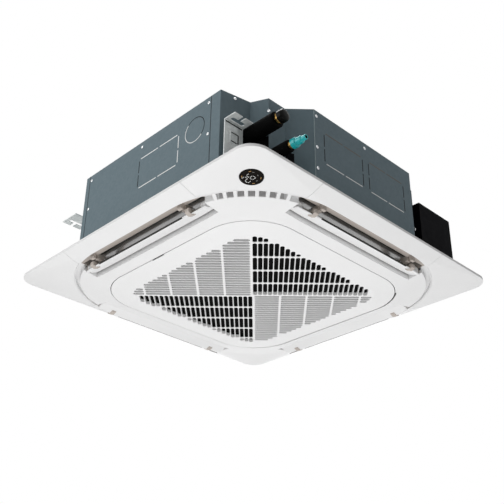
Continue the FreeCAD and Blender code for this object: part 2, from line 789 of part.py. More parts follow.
for turn, corner in ((0, "front_left"), (90, "front_right"), (180, "back_right"), (270, "back_left")):
    node(solid("corner_cover_" + corner, corner_cover(turn), turn), "corner_cover_" + corner)

lens_proud = s.display_depth / 5
lens = display_disc(s.display_radius, lens_proud, s.display_depth - lens_proud)
node(solid("display_lens", lens), "display_lens")


def panel_screws():
    """Screws from the panel's back into the brackets' feet."""
    screws = []
    for x, y in rod_places:
        shank = bar(s.screw_radius - s.fit_gap, (x, y, rim_top - s.shell),
                    (x, y, body_bottom + 4 * s.bracket_sheet))
        head = bar(2 * s.screw_radius, (x, y, rim_top - s.shell - s.screw_head), (x, y, rim_top - s.shell))
        screws.append(shank.fuse(head))
    return Part.makeCompound(screws)


node(solid("panel_screws", panel_screws()), "panel_screws")

seal_width = s.body_width - s.gasket_width
seal_radius = s.rim_inner_radius + s.gasket_width
node(solid("panel_gasket", ring(seal_width, seal_radius, seal_width - 2 * s.gasket_width,
                                seal_radius - s.gasket_width, seal_low, body_bottom)), "panel_gasket")


# Outlets: a liner with bearings, a guide plate, a vane and its stepper motor on each side

liner_end = outlet_length / 2 - s.fit_gap
bearing_radius = s.vane_pin_radius + s.running_gap
eye_outer = s.vane_eye_radius + 1


def outlet_liner():
    ledge = prism(rim_inner_width - s.seam_gap, s.rim_inner_radius - s.seam_gap / 2,
                  floor_low, floor_low + s.shell)
    ledge = ledge.common(block((-liner_end, -s.panel_width / 2, floor_low),
                               (liner_end, -outlet_outer, floor_low + s.shell)))
    inner_face = outlet_inner - s.fit_gap
    duct = block((-liner_end, -outlet_outer - s.liner_wall, floor_low),
                 (liner_end, -inner_face + s.liner_wall, seal_low))
    hollow = block((-liner_end + s.liner_wall, -outlet_outer, floor_low - 1),
                   (liner_end - s.liner_wall, -inner_face, seal_low + 1))
    pieces = [ledge]
    for side in (-1, 1):
        low, high = sorted((side * (liner_end - s.liner_wall), side * liner_end))
        ear = block((low, -vane_axis_reach - eye_outer, vane_axis_level),
                    (high, -vane_axis_reach + eye_outer, floor_low + s.shell))
        eye = bar(eye_outer, (low, -vane_axis_reach, vane_axis_level),
                  (high, -vane_axis_reach, vane_axis_level))
        arm_x = side * vane_arm_place
        arm_half = s.vane_arm_width / 2
        arm = block((arm_x - arm_half, -outlet_outer - s.liner_wall, vane_axis_level - bearing_radius),
                    (arm_x + arm_half, -vane_axis_reach, floor_low + s.shell))
        finger_y = -outlet_outer - s.arm_finger_depth
        finger = block((arm_x - arm_half, finger_y - s.arm_finger_depth, floor_low - s.arm_finger_drop),
                       (arm_x + arm_half, finger_y, floor_low + s.shell))
        arm_eye = bar(eye_outer, (arm_x - arm_half, -vane_axis_reach, vane_axis_level),
                      (arm_x + arm_half, -vane_axis_reach, vane_axis_level))
        pieces += [ear, eye, arm, finger, arm_eye]
    bearings = bar(bearing_radius, (-outlet_length, -vane_axis_reach, vane_axis_level),
                   (outlet_length, -vane_axis_reach, vane_axis_level))
    return duct.cut(hollow).fuse(pieces).cut(bearings).removeSplitter()


def guide_plate():
    """A bright sheet on the duct's inner wall, between the arms."""
    half_long = vane_arm_place - s.vane_arm_width
    inner_face = outlet_inner - s.fit_gap
    return block((-half_long, -inner_face - s.sheet_metal, floor_low + s.shell),
                 (half_long, -inner_face, seal_low - s.shell))


def deck_level(reach):
    """The deck's lower face at a distance from the centre, at mid-side."""
    share = (reach - grille_width / 2) / ((deck_width - grille_width) / 2)
    return grille_low + share * (deck_low - grille_low)


def vane():
    """A flap cut from the deck's own curve, with lugs and pins, turned to its part-open place."""
    flap = deck_form.cut(lifted(deck_form, s.vane_sheet))
    flap = flap.common(outlet_zone(vane_inner, s.panel_width / 2, vane_length, field_low, rim_top))
    root = deck_level(vane_axis_reach) + s.vane_sheet / 2
    arm_face = vane_arm_place + s.vane_arm_width / 2 + s.fit_gap
    pieces = []
    for side in (-1, 1):
        lugs = [(vane_length / 2 - s.vane_lug, vane_length / 2, vane_length / 2 - s.vane_lug, liner_end),
                (arm_face, arm_face + s.vane_lug, vane_arm_place - s.vane_arm_width / 2, arm_face + s.vane_lug)]
        for lug_in, lug_out, pin_in, pin_out in lugs:
            low, high = sorted((side * lug_in, side * lug_out))
            pieces.append(block((low, -vane_axis_reach - s.vane_eye_radius, root),
                                (high, -vane_axis_reach + s.vane_eye_radius, vane_axis_level)))
            pieces.append(bar(s.vane_eye_radius, (low, -vane_axis_reach, vane_axis_level),
                              (high, -vane_axis_reach, vane_axis_level)))
            pieces.append(bar(s.vane_pin_radius, (side * pin_in, -vane_axis_reach, vane_axis_level),
                              (side * pin_out, -vane_axis_reach, vane_axis_level)))
    flap = flap.fuse(pieces).removeSplitter()
    flap.rotate(vector(0, -vane_axis_reach, vane_axis_level), vector(1, 0, 0), s.vane_open)
    return flap


for turn, side in ((0, "front"), (90, "right"), (180, "back"), (270, "left")):
    node(solid("vane_" + side, vane(), turn), "vane_" + side)
node(solid("outlet_liners", Part.makeCompound(around([outlet_liner()]))), "outlet_liners")
node(solid("guide_plates", Part.makeCompound(around([guide_plate()]))), "guide_plates")
motors = around([stepper_bar(s.stepper_radius, s.stepper_length)])
node(solid("vane_motors", Part.makeCompound(motors)), "vane_motors")


# Intake grille with its pinwheel of slots, the air filter and the latch

def slot_wire(start, end, across, spin, z):
    """A slot with round ends, along the first axis of its quarter."""
    radius = s.slot_width / 2
    low, high = start + radius, end - radius
    points = [vector(low, across - radius, z), vector(high, across - radius, z), vector(end, across, z),
              vector(high, across + radius, z), vector(low, across + radius, z), vector(start, across, z)]
    a, b, c, d, e, f = [spin.multVec(point) for point in points]
    return Part.Wire([Part.LineSegment(a, b).toShape(), Part.Arc(b, c, d).toShape(),
                      Part.LineSegment(d, e).toShape(), Part.Arc(e, f, a).toShape()])


def slot_limit(across):
    """How far a slot may run from the centre line before it meets the field's edge."""
    half_field = field_width / 2 - s.slot_start
    corner_centre = (field_width / 2 - s.field_radius) * math.sqrt(2)
    radius = s.field_radius - s.slot_start
    side = across + s.slot_width / 2
    limit = half_field * math.sqrt(2) - side
    if side < radius * math.sqrt(0.5):
        limit = min(limit, corner_centre + math.sqrt(radius ** 2 - side ** 2))
    past = side - corner_centre
    if past > radius * math.sqrt(0.5):
        limit = math.sqrt(max(radius ** 2 - past ** 2, 0))
    return limit


def slot_field(joined, z):
    """All slots of the field; joined ones run on behind the ribs."""
    wires = []
    for quarter in range(4):
        spin = FreeCAD.Rotation(up, 225 + 90 * quarter)
        across = s.slot_pitch / 2
        while slot_limit(across) > s.slot_start + 1.5 * s.slot_width:
            start = s.slot_start
            end = start
            while min(start + s.slot_length, slot_limit(across)) - start > 1.2 * s.slot_width:
                end = min(start + s.slot_length, slot_limit(across))
                if not joined:
                    wires.append(slot_wire(start, end, across, spin, z))
                start += s.slot_row
            if joined:
                wires.append(slot_wire(s.slot_start, end, across, spin, z))
            across += s.slot_pitch
    return wires


def intake_grille():
    form = dome(grille_width, s.grille_radius, grille_low, field_width, s.field_radius, field_low,
                s.groove_depth)
    shell = form.cut(lifted(form, s.shell))
    shell = shell.cut(prism(field_width - 4 * s.shell, s.field_radius - 2 * s.shell, field_low - 1, rim_top))
    outer = rounded(field_width - 2 * s.shell, s.field_radius - s.shell, field_low)
    face = Part.makeFace([outer] + slot_field(False, field_low), "Part::FaceMakerBullseye")
    behind = field_low + s.rib_depth
    blade_outer = rounded(field_width - 2 * s.shell, s.field_radius - s.shell, behind)
    blade_face = Part.makeFace([blade_outer] + slot_field(True, behind), "Part::FaceMakerBullseye")
    blades = blade_face.extrude(vector(0, 0, s.slat_depth - s.rib_depth))
    slats = face.extrude(vector(0, 0, s.rib_depth)).fuse(blades)
    axis_x = grille_width / 2 - s.hinge_inset
    axis_z = grille_low + s.hinge_rise
    pieces = [slats]
    for side in (-1, 1):
        face = s.hinge_place + s.hinge_arm_width / 2 + s.fit_gap
        low, high = sorted((side * face, side * (face + s.vane_lug)))
        lug_half = s.hinge_pin_radius + 2
        pieces.append(block((axis_x - lug_half, low, field_low + s.shell), (axis_x + lug_half, high, axis_z)))
        pieces.append(bar(lug_half, (axis_x, low, axis_z), (axis_x, high, axis_z)))
        pieces.append(bar(s.hinge_pin_radius, (axis_x, side * (s.hinge_place - s.hinge_arm_width / 2), axis_z),
                          (axis_x, side * (face + s.vane_lug), axis_z)))
    notch = block((-grille_width / 2 - 1, s.latch_place - s.latch_width / 2, field_low),
                  (-grille_width / 2 + s.shell, s.latch_place + s.latch_width / 2, rim_top))
    return shell.fuse(pieces).cut(notch).removeSplitter()


node(solid("intake_grille", intake_grille()), "intake_grille")


def air_filter():
    low = field_low + s.slat_depth + s.fit_gap
    corner = s.field_radius
    frame = ring(filter_width, corner, filter_width - 2 * s.filter_frame, corner - s.filter_frame,
                 low, low + s.filter_depth)
    mesh = prism(filter_width - s.filter_frame, corner - s.filter_frame / 2, low, low + s.sheet_metal)
    count = int(s.filter_ribs)
    pieces = [mesh]
    span = filter_width / 2 - s.filter_frame / 2
    for i in range(count):
        along = (i + 1) * filter_width / (count + 1) - filter_width / 2
        rib = block((along - s.shell, -span, low), (along + s.shell, span, low + s.filter_depth))
        turned = rib.copy()
        turned.rotate(centre, up, 90)
        pieces += [rib, turned]
    return frame.fuse(pieces).removeSplitter()


node(solid("air_filter", air_filter()), "air_filter")
grille_edge = "panel_width / 2 - rim_border - groove_width - deck_border"
node(box("grille_latch", "4 * latch_travel", "latch_width - 2 * fit_gap", "latch_travel",
         "2 * latch_travel + parting_gap - (%s)" % grille_edge, "latch_place",
         "%s - panel_drop - grille_drop + shell + fit_gap" % floor_level), "grille_latch")


# Drain pan, bell mouth, coil and pump

pan_inset = "sheet_metal + 2 * fit_gap + foam_thickness"
pan_block = extrude("pan_block", inset("pan_outline", body_outline, pan_inset), "pan_height", floor_level)
pan_top = body_bottom + s.pan_height
trough = ring(s.coil_width + 4 * s.shell, s.coil_radius + 2 * s.shell,
              s.coil_width - 2 * s.coil_depth - 4 * s.shell, s.coil_radius - s.coil_depth - 2 * s.shell,
              pan_top - s.pan_trough, pan_top + 1)
pan_hole = prism(s.pan_hole_width, s.field_radius, body_bottom - 1, pan_top + 1)
pan_outlets = around([outlet_zone(outlet_inner - s.shell, half, outlet_length, body_bottom - 1, pan_top + 1)])
node(cut("drain_pan", pan_block, solid("pan_trough_room", trough), solid("pan_hole_room", pan_hole),
         solid("pan_outlet_rooms", Part.makeCompound(pan_outlets))), "drain_pan")


def bell_mouth():
    flat = prism(s.bell_plate_width, s.field_radius, body_bottom - s.shell, body_bottom)
    throat_low = body_bottom - s.shell
    throat_high = s.fan_top - s.fan_height - s.shell
    bend = (throat_low + 2 * throat_high) / 3
    outer = Part.makeCone(s.bell_mouth_radius + s.shell, s.bell_radius + s.shell, bend - throat_low,
                          vector(0, 0, throat_low))
    outer = outer.fuse(Part.makeCylinder(s.bell_radius + s.shell, throat_high - bend, vector(0, 0, bend)))
    inner = Part.makeCone(s.bell_mouth_radius, s.bell_radius, bend - throat_low, vector(0, 0, throat_low))
    inner = inner.fuse(Part.makeCylinder(s.bell_radius, throat_high - bend, vector(0, 0, bend)))
    return flat.fuse(outer).cut(inner).removeSplitter()


node(solid("bell_mouth", bell_mouth()), "bell_mouth")

coil_low = pan_top - s.pan_trough
coil_high = body_top - s.sheet_metal - s.fit_gap - s.foam_top
coil_end = s.coil_width / 2 - s.coil_gap


def heat_exchanger():
    fins = ring(s.coil_width, s.coil_radius, s.coil_width - 2 * s.coil_depth, s.coil_radius - s.coil_depth,
                coil_low, coil_high)
    return fins.cut(block((-s.coil_width, -s.coil_width, coil_low - 1), (-coil_end, -coil_end, coil_high + 1)))


def coil_end_shapes():
    """The end plate and the return bends at the coil's left end; the other end mirrors it."""
    middle = -s.coil_width / 2 + s.coil_depth / 2
    plate_shape = block((middle - s.coil_depth / 2, -coil_end - s.sheet_metal, coil_low),
                        (middle + s.coil_depth / 2, -coil_end, coil_high))
    pitch = 5 * s.liquid_pipe_radius
    bends = []
    level = coil_low + pitch
    while level < coil_high - pitch:
        loop = Part.makeTorus(pitch / 4, s.liquid_pipe_radius, vector(middle, -coil_end - s.sheet_metal, level),
                              vector(1, 0, 0))
        bends.append(loop.common(block((-s.coil_width, -s.coil_width, coil_low),
                                       (0, -coil_end - s.sheet_metal, coil_high))))
        level += pitch
    return plate_shape, bends


def both_ends(shapes):
    copies = []
    for shape in shapes:
        copies += [shape, shape.mirror(centre, vector(1, -1, 0))]
    return Part.makeCompound(copies)


node(solid("heat_exchanger", heat_exchanger()), "heat_exchanger")
end_plate, return_bends = coil_end_shapes()
node(solid("coil_end_plates", both_ends([end_plate])), "coil_end_plates")
node(solid("coil_return_bends", both_ends(return_bends)), "coil_return_bends")

pan_level = "%s + pan_height" % floor_level
node(cylinder("drain_pump", "pump_radius", "pump_height", "pump_place", "pump_place", pan_level), "drain_pump")


def drain_socket():
    """A riser from the pump that turns out through the back right corner."""
    start = vector(s.pump_place, s.pump_place, pan_top + s.pump_height)
    bend = vector(s.pump_place, s.pump_place, s.drain_level)
    wall_reach = (s.body_width - s.back_cut) / math.sqrt(2)
    run = wall_reach + s.drain_reach - s.pump_place * math.sqrt(2)
    end = bend + drain_way * run
    turn = s.drain_radius * 1.5
    first = bend - up * turn
    last = bend + drain_way * turn
    middle = bend - up * turn + drain_way * turn
    middle = middle + (up - drain_way) * (turn * math.sqrt(0.5))
    path = Part.Wire([Part.LineSegment(start, first).toShape(), Part.Arc(first, middle, last).toShape(),
                      Part.LineSegment(last, end).toShape()])
    outer_circle = Part.Wire(Part.makeCircle(s.drain_bore + s.drain_wall, start, up))
    inner_circle = Part.Wire(Part.makeCircle(s.drain_bore, start, up))
    outer = path.makePipeShell([outer_circle], True, False)
    inner = path.makePipeShell([inner_circle], True, False)
    spigot = bar(s.drain_radius, end - drain_way * (s.drain_reach - s.shell), end)
    return outer.fuse(spigot).cut(inner).removeSplitter()


node(solid("drain_socket", drain_socket()), "drain_socket")
stem_top = "float_travel * 4"
float_base = cylinder("float_base", "float_radius", "shell", "float_place", "float_across", pan_level)
float_stem = cylinder("float_stem", "float_stem_radius", stem_top, "float_place", "float_across", pan_level)
float_cap = cylinder("float_cap", "float_radius", "shell", "float_place", "float_across",
                     "%s + %s" % (pan_level, stem_top))
node(fuse("float_switch", float_base, float_stem, float_cap), "float_switch")
float_block = cylinder("float_block", "float_radius - 1", "%s - float_travel - shell - 2 * fit_gap" % stem_top,
                       "float_place", "float_across", "%s + shell + fit_gap" % pan_level)
float_bore = cylinder("float_bore", "float_stem_radius + fit_gap", stem_top, "float_place", "float_across",
                      pan_level)
node(cut("float_ring", float_block, float_bore), "float_ring")


# Fan motor, its rubber mounts, the shaft and the turbo fan

under_top = "top_above_hanger - sheet_metal"
mount_tall = "mount_radius * 0.7"
motor_base = "%s - %s - motor_height" % (under_top, mount_tall)
motor_case = cylinder("motor_case", "motor_radius", "motor_height", "0", "0", motor_base)
motor_neck = cylinder("motor_neck", "3 * shaft_radius", "2 * shaft_radius", "0", "0",
                      "%s - 2 * shaft_radius" % motor_base)
motor_bore = cylinder("motor_bore", "shaft_radius + running_gap", "motor_height", "0", "0",
                      "%s - 3 * shaft_radius" % motor_base)
node(cut("fan_motor", fuse("motor_body", motor_case, motor_neck), motor_bore), "fan_motor")
mounts = []
for i in range(3):
    x = "mount_circle * %.6f" % math.cos(math.tau * i / 3)
    y = "mount_circle * %.6f" % math.sin(math.tau * i / 3)
    mounts.append(cylinder("mount_%d" % i, "mount_radius", mount_tall, x, y,
                           "%s - %s" % (under_top, mount_tall)))
node(group("motor_mounts", *mounts), "motor_mounts")
hub_level = "fan_top - fan_height / 2"
shaft_top = "%s + motor_height / 2" % motor_base
node(cylinder("motor_shaft", "shaft_radius", "%s - (%s - 5 * shaft_radius)" % (shaft_top, hub_level), "0", "0",
              "%s - 5 * shaft_radius" % hub_level), "motor_shaft")
nut_block = hexagon("nut_block", "2 * shaft_radius", "2 * shaft_radius", "0", "0",
                    "%s - 2 * shaft_radius" % hub_level, up)
nut_bore = cylinder("nut_bore", "shaft_radius + running_gap", "4 * shaft_radius", "0", "0",
                    "%s - 3 * shaft_radius" % hub_level)
node(cut("fan_nut", nut_block, nut_bore), "fan_nut")


def polar(radius, degrees, z):
    return vector(radius * math.cos(math.radians(degrees)), radius * math.sin(math.radians(degrees)), z)


def fan_blade(low, high):
    """One backward-curved blade between two arcs, two degrees apart."""
    lead, trail = s.fan_hub_radius + 12 * s.fan_sheet, s.fan_radius - s.fan_sheet
    mid = (lead + trail) / 2
    first = [polar(lead, 1, low), polar(mid, -17, low), polar(trail, -41, low)]
    second = [polar(trail, -43, low), polar(mid, -19.4, low), polar(lead, -1, low)]
    face = Part.Face(Part.Wire([Part.Arc(*first).toShape(), Part.LineSegment(first[2], second[0]).toShape(),
                                Part.Arc(*second).toShape(), Part.LineSegment(second[2], first[0]).toShape()]))
    return face.extrude(vector(0, 0, high - low))


def turbo_fan():
    top, low, thin = s.fan_top, s.fan_top - s.fan_height, s.fan_sheet
    hub_low = s.fan_top - s.fan_height / 2
    hub = s.fan_hub_radius

    def disc(radius, hole, bottom, height):
        return Part.makeCylinder(radius, height, vector(0, 0, bottom)).cut(
            Part.makeCylinder(hole, height, vector(0, 0, bottom)))
    pieces = [disc(hub, hub - thin, hub_low, top - hub_low),
              disc(hub, s.shaft_radius + s.running_gap, hub_low, thin),
              disc(s.fan_radius, s.fan_eye_radius, low, thin),
              disc(s.fan_eye_radius + thin, s.fan_eye_radius, low - 3 * thin, 4 * thin)]
    blade = fan_blade(low + thin / 2, top - thin / 2)
    for i in range(int(s.fan_blades)):
        copy = blade.copy()
        copy.rotate(centre, up, 360 * i / int(s.fan_blades))
        pieces.append(copy)
    return disc(s.fan_radius, hub - thin, top - thin, thin).fuse(pieces).removeSplitter()


node(solid("turbo_fan", turbo_fan()), "turbo_fan")


# Refrigerant pipes: tube, insulation, flare nut and plug, running out along -Y

out = vector(0, -1, 0)
flare_gap = "4 * fit_gap"


def pipe(label, line, level, tube, cover, cover_end, plug_end, start):
    """A pipe through the piping corner, capped for transport."""
    nut_start = "-%s_%s" % (label, "cover_end")
    nut_tall = "%s_nut_length" % label
    plug_start = "%s - %s" % (nut_start, nut_tall)
    at = ("-%s" % line, start, level)
    body = cylinder(label + "_tube", tube, "(%s) + (%s) + %s / 2" % (start, cover_end, nut_tall), *at, axis=out)
    node(body, label + "_pipe")
    sleeve = cylinder(label + "_sleeve", cover, "(%s) + (%s)" % (start, cover_end), *at, axis=out)
    sleeve_bore = cylinder(label + "_sleeve_bore", "%s + fit_gap" % tube, "body_width", *at, axis=out)
    node(cut(label + "_insulation", sleeve, sleeve_bore), label + "_insulation")
    nut = hexagon(label + "_nut_block", "%s + nut_wall" % tube, nut_tall, "-%s" % line, nut_start, level, out)
    nut_bore = cylinder(label + "_nut_bore", "%s + fit_gap" % tube, "body_width", *at, axis=out)
    node(cut(label + "_flare_nut", nut, nut_bore), label + "_flare_nut")
    return plug_start, "(%s) + (%s)" % (plug_end, plug_start)


gas_start = "-body_width / 2 + notch_length + foam_thickness"
gas_plug, gas_plug_long = pipe("gas", "gas_line", "gas_level", "gas_pipe_radius", "gas_cover_radius",
                               "gas_cover_end", "gas_plug_end", gas_start)
gas_plug_body = cylinder("gas_plug_body", "0.79 * gas_cover_radius", gas_plug_long, "-gas_line", gas_plug,
                         "gas_level", out)
node(gas_plug_body, "gas_plug")
liquid_start = "-body_width / 2 + shelf_depth + 2 * foam_thickness"
liquid_plug, liquid_plug_long = pipe("liquid", "liquid_line", "liquid_level", "liquid_pipe_radius",
                                     "liquid_cover_radius", "liquid_cover_end", "liquid_plug_end", liquid_start)
plug_steps = []
for radius, share in (("0.85", "0.3"), ("0.66", "0.7"), ("0.5", "1")):
    plug_steps.append(cylinder("plug_step_%d" % len(plug_steps), "%s * liquid_cover_radius" % radius,
                               "%s * (%s)" % (share, liquid_plug_long), "-liquid_line", liquid_plug,
                               "liquid_level", out))
plug_hollow = cylinder("plug_hollow", "0.26 * liquid_cover_radius", liquid_plug_long, "-liquid_line",
                       "%s - (%s) * 0.6" % (liquid_plug, liquid_plug_long), "liquid_level", out)
node(cut("liquid_plug", fuse("plug_form", *plug_steps), plug_hollow), "liquid_plug")


def on_wall(shape, start, end):
    """A shape drawn along +X from the origin, set against a wall that runs from start to end."""
    turned = shape.copy()
    turned.rotate(centre, up, math.degrees(math.atan2(end[1] - start[1], end[0] - start[0])))
    turned.translate(vector(start[0], start[1], 0))
    return turned


fold_spot = (-half + s.fold_across, -half + s.fold_along)
shelf_spot = (-half + s.shelf_start, -half + s.shelf_depth)
ramp_spot = (-half + s.shelf_end, -half + s.shelf_depth)
front_spot = (-half + s.notch_width, -half)
fold_length = math.dist(fold_spot, shelf_spot)
wall_share = (rod_x - s.bracket_length / 2 - s.fit_gap + fold_spot[0]) / s.fold_across
cover_spot = (fold_spot[0] - wall_share * s.fold_across,
              fold_spot[1] + wall_share * (s.notch_length - s.fold_along))
cover_top = s.gas_level - s.gas_cover_radius / 2
pipe_cover_face = block((0, -s.pipe_plate, body_bottom), (fold_length, 0, cover_top))
pipe_cover_flap = block((0, -s.pipe_plate, body_bottom), (math.dist(cover_spot, fold_spot), 0, cover_top))
gas_room = bar(s.gas_cover_radius + s.fit_gap, (-s.gas_line, 0, s.gas_level),
               (-s.gas_line, -s.body_width, s.gas_level))
pipe_cover = on_wall(pipe_cover_face, fold_spot, shelf_spot)
pipe_cover = pipe_cover.fuse(on_wall(pipe_cover_flap, cover_spot, fold_spot)).cut(gas_room)
node(solid("pipe_cover", pipe_cover.removeSplitter()), "pipe_cover")
ramp_middle = math.dist(ramp_spot, front_spot) / 2
bush_radius = 4 * s.pipe_plate
bush = bar(bush_radius, (ramp_middle, 0, body_bottom + bush_radius),
           (ramp_middle, -bush_radius, body_bottom + bush_radius))
node(solid("cable_bush", on_wall(bush, ramp_spot, front_spot)), "cable_bush")


# Control box at the front right corner

box_right = half - s.box_right_inset
box_left = box_right - s.box_width
box_front = -half + s.box_front_inset
box_back = box_front + s.box_depth
box_low = s.box_top - s.box_height


def control_tray():
    thin = s.sheet_metal
    lid = box_front + thin
    tray = block((box_left, lid, box_low), (box_right, box_back, s.box_top))
    room = block((box_left + thin, lid - 1, box_low + thin),
                 (box_right - thin, box_back - thin, s.box_top - thin))
    wall_start = (half - s.notch_width, -half)
    wall_end = (half - s.box_fold_across, -half + s.box_fold_along)
    wall_length = math.dist(wall_start, wall_end)
    ear = on_wall(block((s.screw_radius, -2 * thin, box_low), (wall_length, 0, s.box_top + 2 * s.screw_radius)),
                  wall_start, wall_end)
    strap = block((box_left, box_back - thin, box_low), (box_left + thin, wall_end[1], s.box_top))
    return tray.cut(room).fuse([ear, strap]).removeSplitter()


node(solid("control_box", control_tray()), "control_box")
node(box("control_cover", "box_width", "sheet_metal", "box_height",
         "body_width / 2 - box_right_inset - box_width / 2",
         "-body_width / 2 + box_front_inset + sheet_metal / 2", "box_top - box_height"), "control_cover")
node(box("terminal_block", "box_width / 2", "box_depth / 2", "4 * screw_radius",
         "body_width / 2 - box_right_inset - box_width / 2",
         "-body_width / 2 + box_front_inset + box_depth * 0.75 - sheet_metal", "box_top - box_height * 0.8"),
     "terminal_block")


# Check every piece, then write one file for each

doc.recompute()
for thing in doc.Objects:
    if "Invalid" in thing.State or "Error" in thing.State:
        raise RuntimeError("%s did not compute: %s" % (thing.Name, thing.State))
for label, thing in nodes:
    if thing.Shape.isNull() or not thing.Shape.isValid() or not thing.Shape.Solids:
        raise RuntimeError("%s has no valid solid" % label)
os.makedirs("parts", exist_ok=True)
for label, thing in nodes:
    thing.Shape.exportStep("parts/%s.step" % label)
    extent = thing.Shape.BoundBox
    limits = (extent.XMin, extent.XMax, extent.YMin, extent.YMax, extent.ZMin, extent.ZMax)
    print(label, len(thing.Shape.Solids), round(thing.Shape.Volume), [round(value, 1) for value in limits])
print(len(nodes), "nodes")
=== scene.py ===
import math

import bpy
from mathutils import Matrix, Vector


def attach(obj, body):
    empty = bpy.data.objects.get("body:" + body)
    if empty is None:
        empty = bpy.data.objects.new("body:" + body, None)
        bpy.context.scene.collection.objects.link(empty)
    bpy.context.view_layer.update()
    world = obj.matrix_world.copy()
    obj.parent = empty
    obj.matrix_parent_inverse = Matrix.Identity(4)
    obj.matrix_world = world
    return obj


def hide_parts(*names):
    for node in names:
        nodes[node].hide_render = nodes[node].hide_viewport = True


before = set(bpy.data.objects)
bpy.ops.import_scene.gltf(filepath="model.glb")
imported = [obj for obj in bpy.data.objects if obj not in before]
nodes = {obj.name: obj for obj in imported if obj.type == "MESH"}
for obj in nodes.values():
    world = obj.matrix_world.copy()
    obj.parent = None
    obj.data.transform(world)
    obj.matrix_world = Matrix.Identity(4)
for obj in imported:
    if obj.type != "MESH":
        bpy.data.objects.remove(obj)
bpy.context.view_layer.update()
print("frame loaded:", len(nodes), "nodes")


# Materials: each finish is a small node tree on Object coordinates

def startFinish(name, color, roughness, metallic=0.0, specular=0.5):
    material = bpy.data.materials.new(name)
    material.use_nodes = True
    material.diffuse_color = (*color, 1)
    tree = material.node_tree
    shader = tree.nodes["Principled BSDF"]
    shader.inputs["Base Color"].default_value = (*color, 1)
    shader.inputs["Roughness"].default_value = roughness
    shader.inputs["Metallic"].default_value = metallic
    shader.inputs["Specular IOR Level"].default_value = specular
    place = tree.nodes.new("ShaderNodeTexCoord")
    return material, tree, shader, place.outputs["Object"]


def addNode(tree, kind, **settings):
    made = tree.nodes.new(kind)
    for key, value in settings.items():
        if key in made.inputs:
            made.inputs[key].default_value = value
        else:
            setattr(made, key, value)
    return made


def noise(tree, place, scale, detail=3.0, stretch=None):
    grain = addNode(tree, "ShaderNodeTexNoise", Scale=scale, Detail=detail)
    if stretch:
        mapping = addNode(tree, "ShaderNodeMapping", Scale=stretch)
        tree.links.new(place, mapping.inputs["Vector"])
        place = mapping.outputs["Vector"]
    tree.links.new(place, grain.inputs["Vector"])
    return grain.outputs["Fac"]


def bands(tree, place, pitch, direction):
    radiansPerMetre = 20  # of Blender's wave texture at scale 1
    wave = addNode(tree, "ShaderNodeTexWave", bands_direction=direction,
                   Scale=1 / pitch / radiansPerMetre * math.tau / 2)
    tree.links.new(place, wave.inputs["Vector"])
    return wave.outputs["Fac"]


def larger(tree, first, second):
    both = addNode(tree, "ShaderNodeMath", operation="MAXIMUM")
    tree.links.new(first, both.inputs[0])
    tree.links.new(second, both.inputs[1])
    return both.outputs["Value"]


def remap(tree, value, source=(0, 1), target=(0, 1)):
    spread = tree.nodes.new("ShaderNodeMapRange")
    labels = ("From Min", "From Max", "To Min", "To Max")
    for label, limit in zip(labels, (*source, *target)):
        spread.inputs[label].default_value = limit
    tree.links.new(value, spread.inputs["Value"])
    return spread.outputs["Result"]


def scaled(color, share):
    return [channel * share for channel in color]


def tint(tree, shader, factor, dark, light, low=0.35, high=0.65):
    ramp = tree.nodes.new("ShaderNodeValToRGB")
    ramp.color_ramp.elements[0].position = low
    ramp.color_ramp.elements[0].color = (*dark, 1)
    ramp.color_ramp.elements[1].position = high
    ramp.color_ramp.elements[1].color = (*light, 1)
    tree.links.new(factor, ramp.inputs["Fac"])
    tree.links.new(ramp.outputs["Color"], shader.inputs["Base Color"])


def sheen(tree, shader, factor, low, high):
    middle = (0.3, 0.7)  # this part of the pattern spans the whole range
    spread = remap(tree, factor, source=middle, target=(low, high))
    tree.links.new(spread, shader.inputs["Roughness"])


def relief(tree, shader, height, distance, strength, edge=0.0):
    bump = addNode(tree, "ShaderNodeBump", Strength=strength, Distance=distance)
    tree.links.new(height, bump.inputs["Height"])
    if edge:
        soft = addNode(tree, "ShaderNodeBevel", Radius=edge, samples=4)
        tree.links.new(soft.outputs["Normal"], bump.inputs["Normal"])
    tree.links.new(bump.outputs["Normal"], shader.inputs["Normal"])


def satinPlastic(name, color, roughness, edge=0.0012, spread=0.02, specular=0.5):
    material, tree, shader, place = startFinish(name, color, roughness, specular=specular)
    tint(tree, shader, noise(tree, place, scale=9), scaled(color, 1 - spread), color)
    sheen(tree, shader, noise(tree, place, scale=60), roughness - 0.05, roughness + 0.06)
    grain = noise(tree, place, scale=1400, detail=2)
    relief(tree, shader, grain, distance=0.00004, strength=0.6, edge=edge)
    return material


def zincSheet(name, color, dark, roughness, spangle, metallic, specular=0.5):
    material, tree, shader, place = startFinish(name, color, roughness, metallic, specular)
    cells = addNode(tree, "ShaderNodeTexVoronoi", Scale=spangle)
    tree.links.new(place, cells.inputs["Vector"])
    split = tree.nodes.new("ShaderNodeSeparateColor")
    tree.links.new(cells.outputs["Color"], split.inputs["Color"])
    tint(tree, shader, split.outputs["Red"], dark, color, low=0.0, high=1.0)
    sheen(tree, shader, split.outputs["Green"], roughness - 0.04, roughness + 0.06)
    waves = noise(tree, place, scale=5)
    relief(tree, shader, waves, distance=0.0008, strength=0.12, edge=0.0008)
    return material


def foamRubber(name, color, cell, specular=0.15):
    material, tree, shader, place = startFinish(name, color, roughness=0.78, specular=specular)
    cloud = noise(tree, place, scale=40)
    tint(tree, shader, cloud, scaled(color, 0.7), scaled(color, 1.25))
    sheen(tree, shader, cloud, low=0.6, high=0.85)
    cells = noise(tree, place, cell, detail=4)
    relief(tree, shader, cells, distance=0.0006, strength=0.5, edge=0.001)
    return material


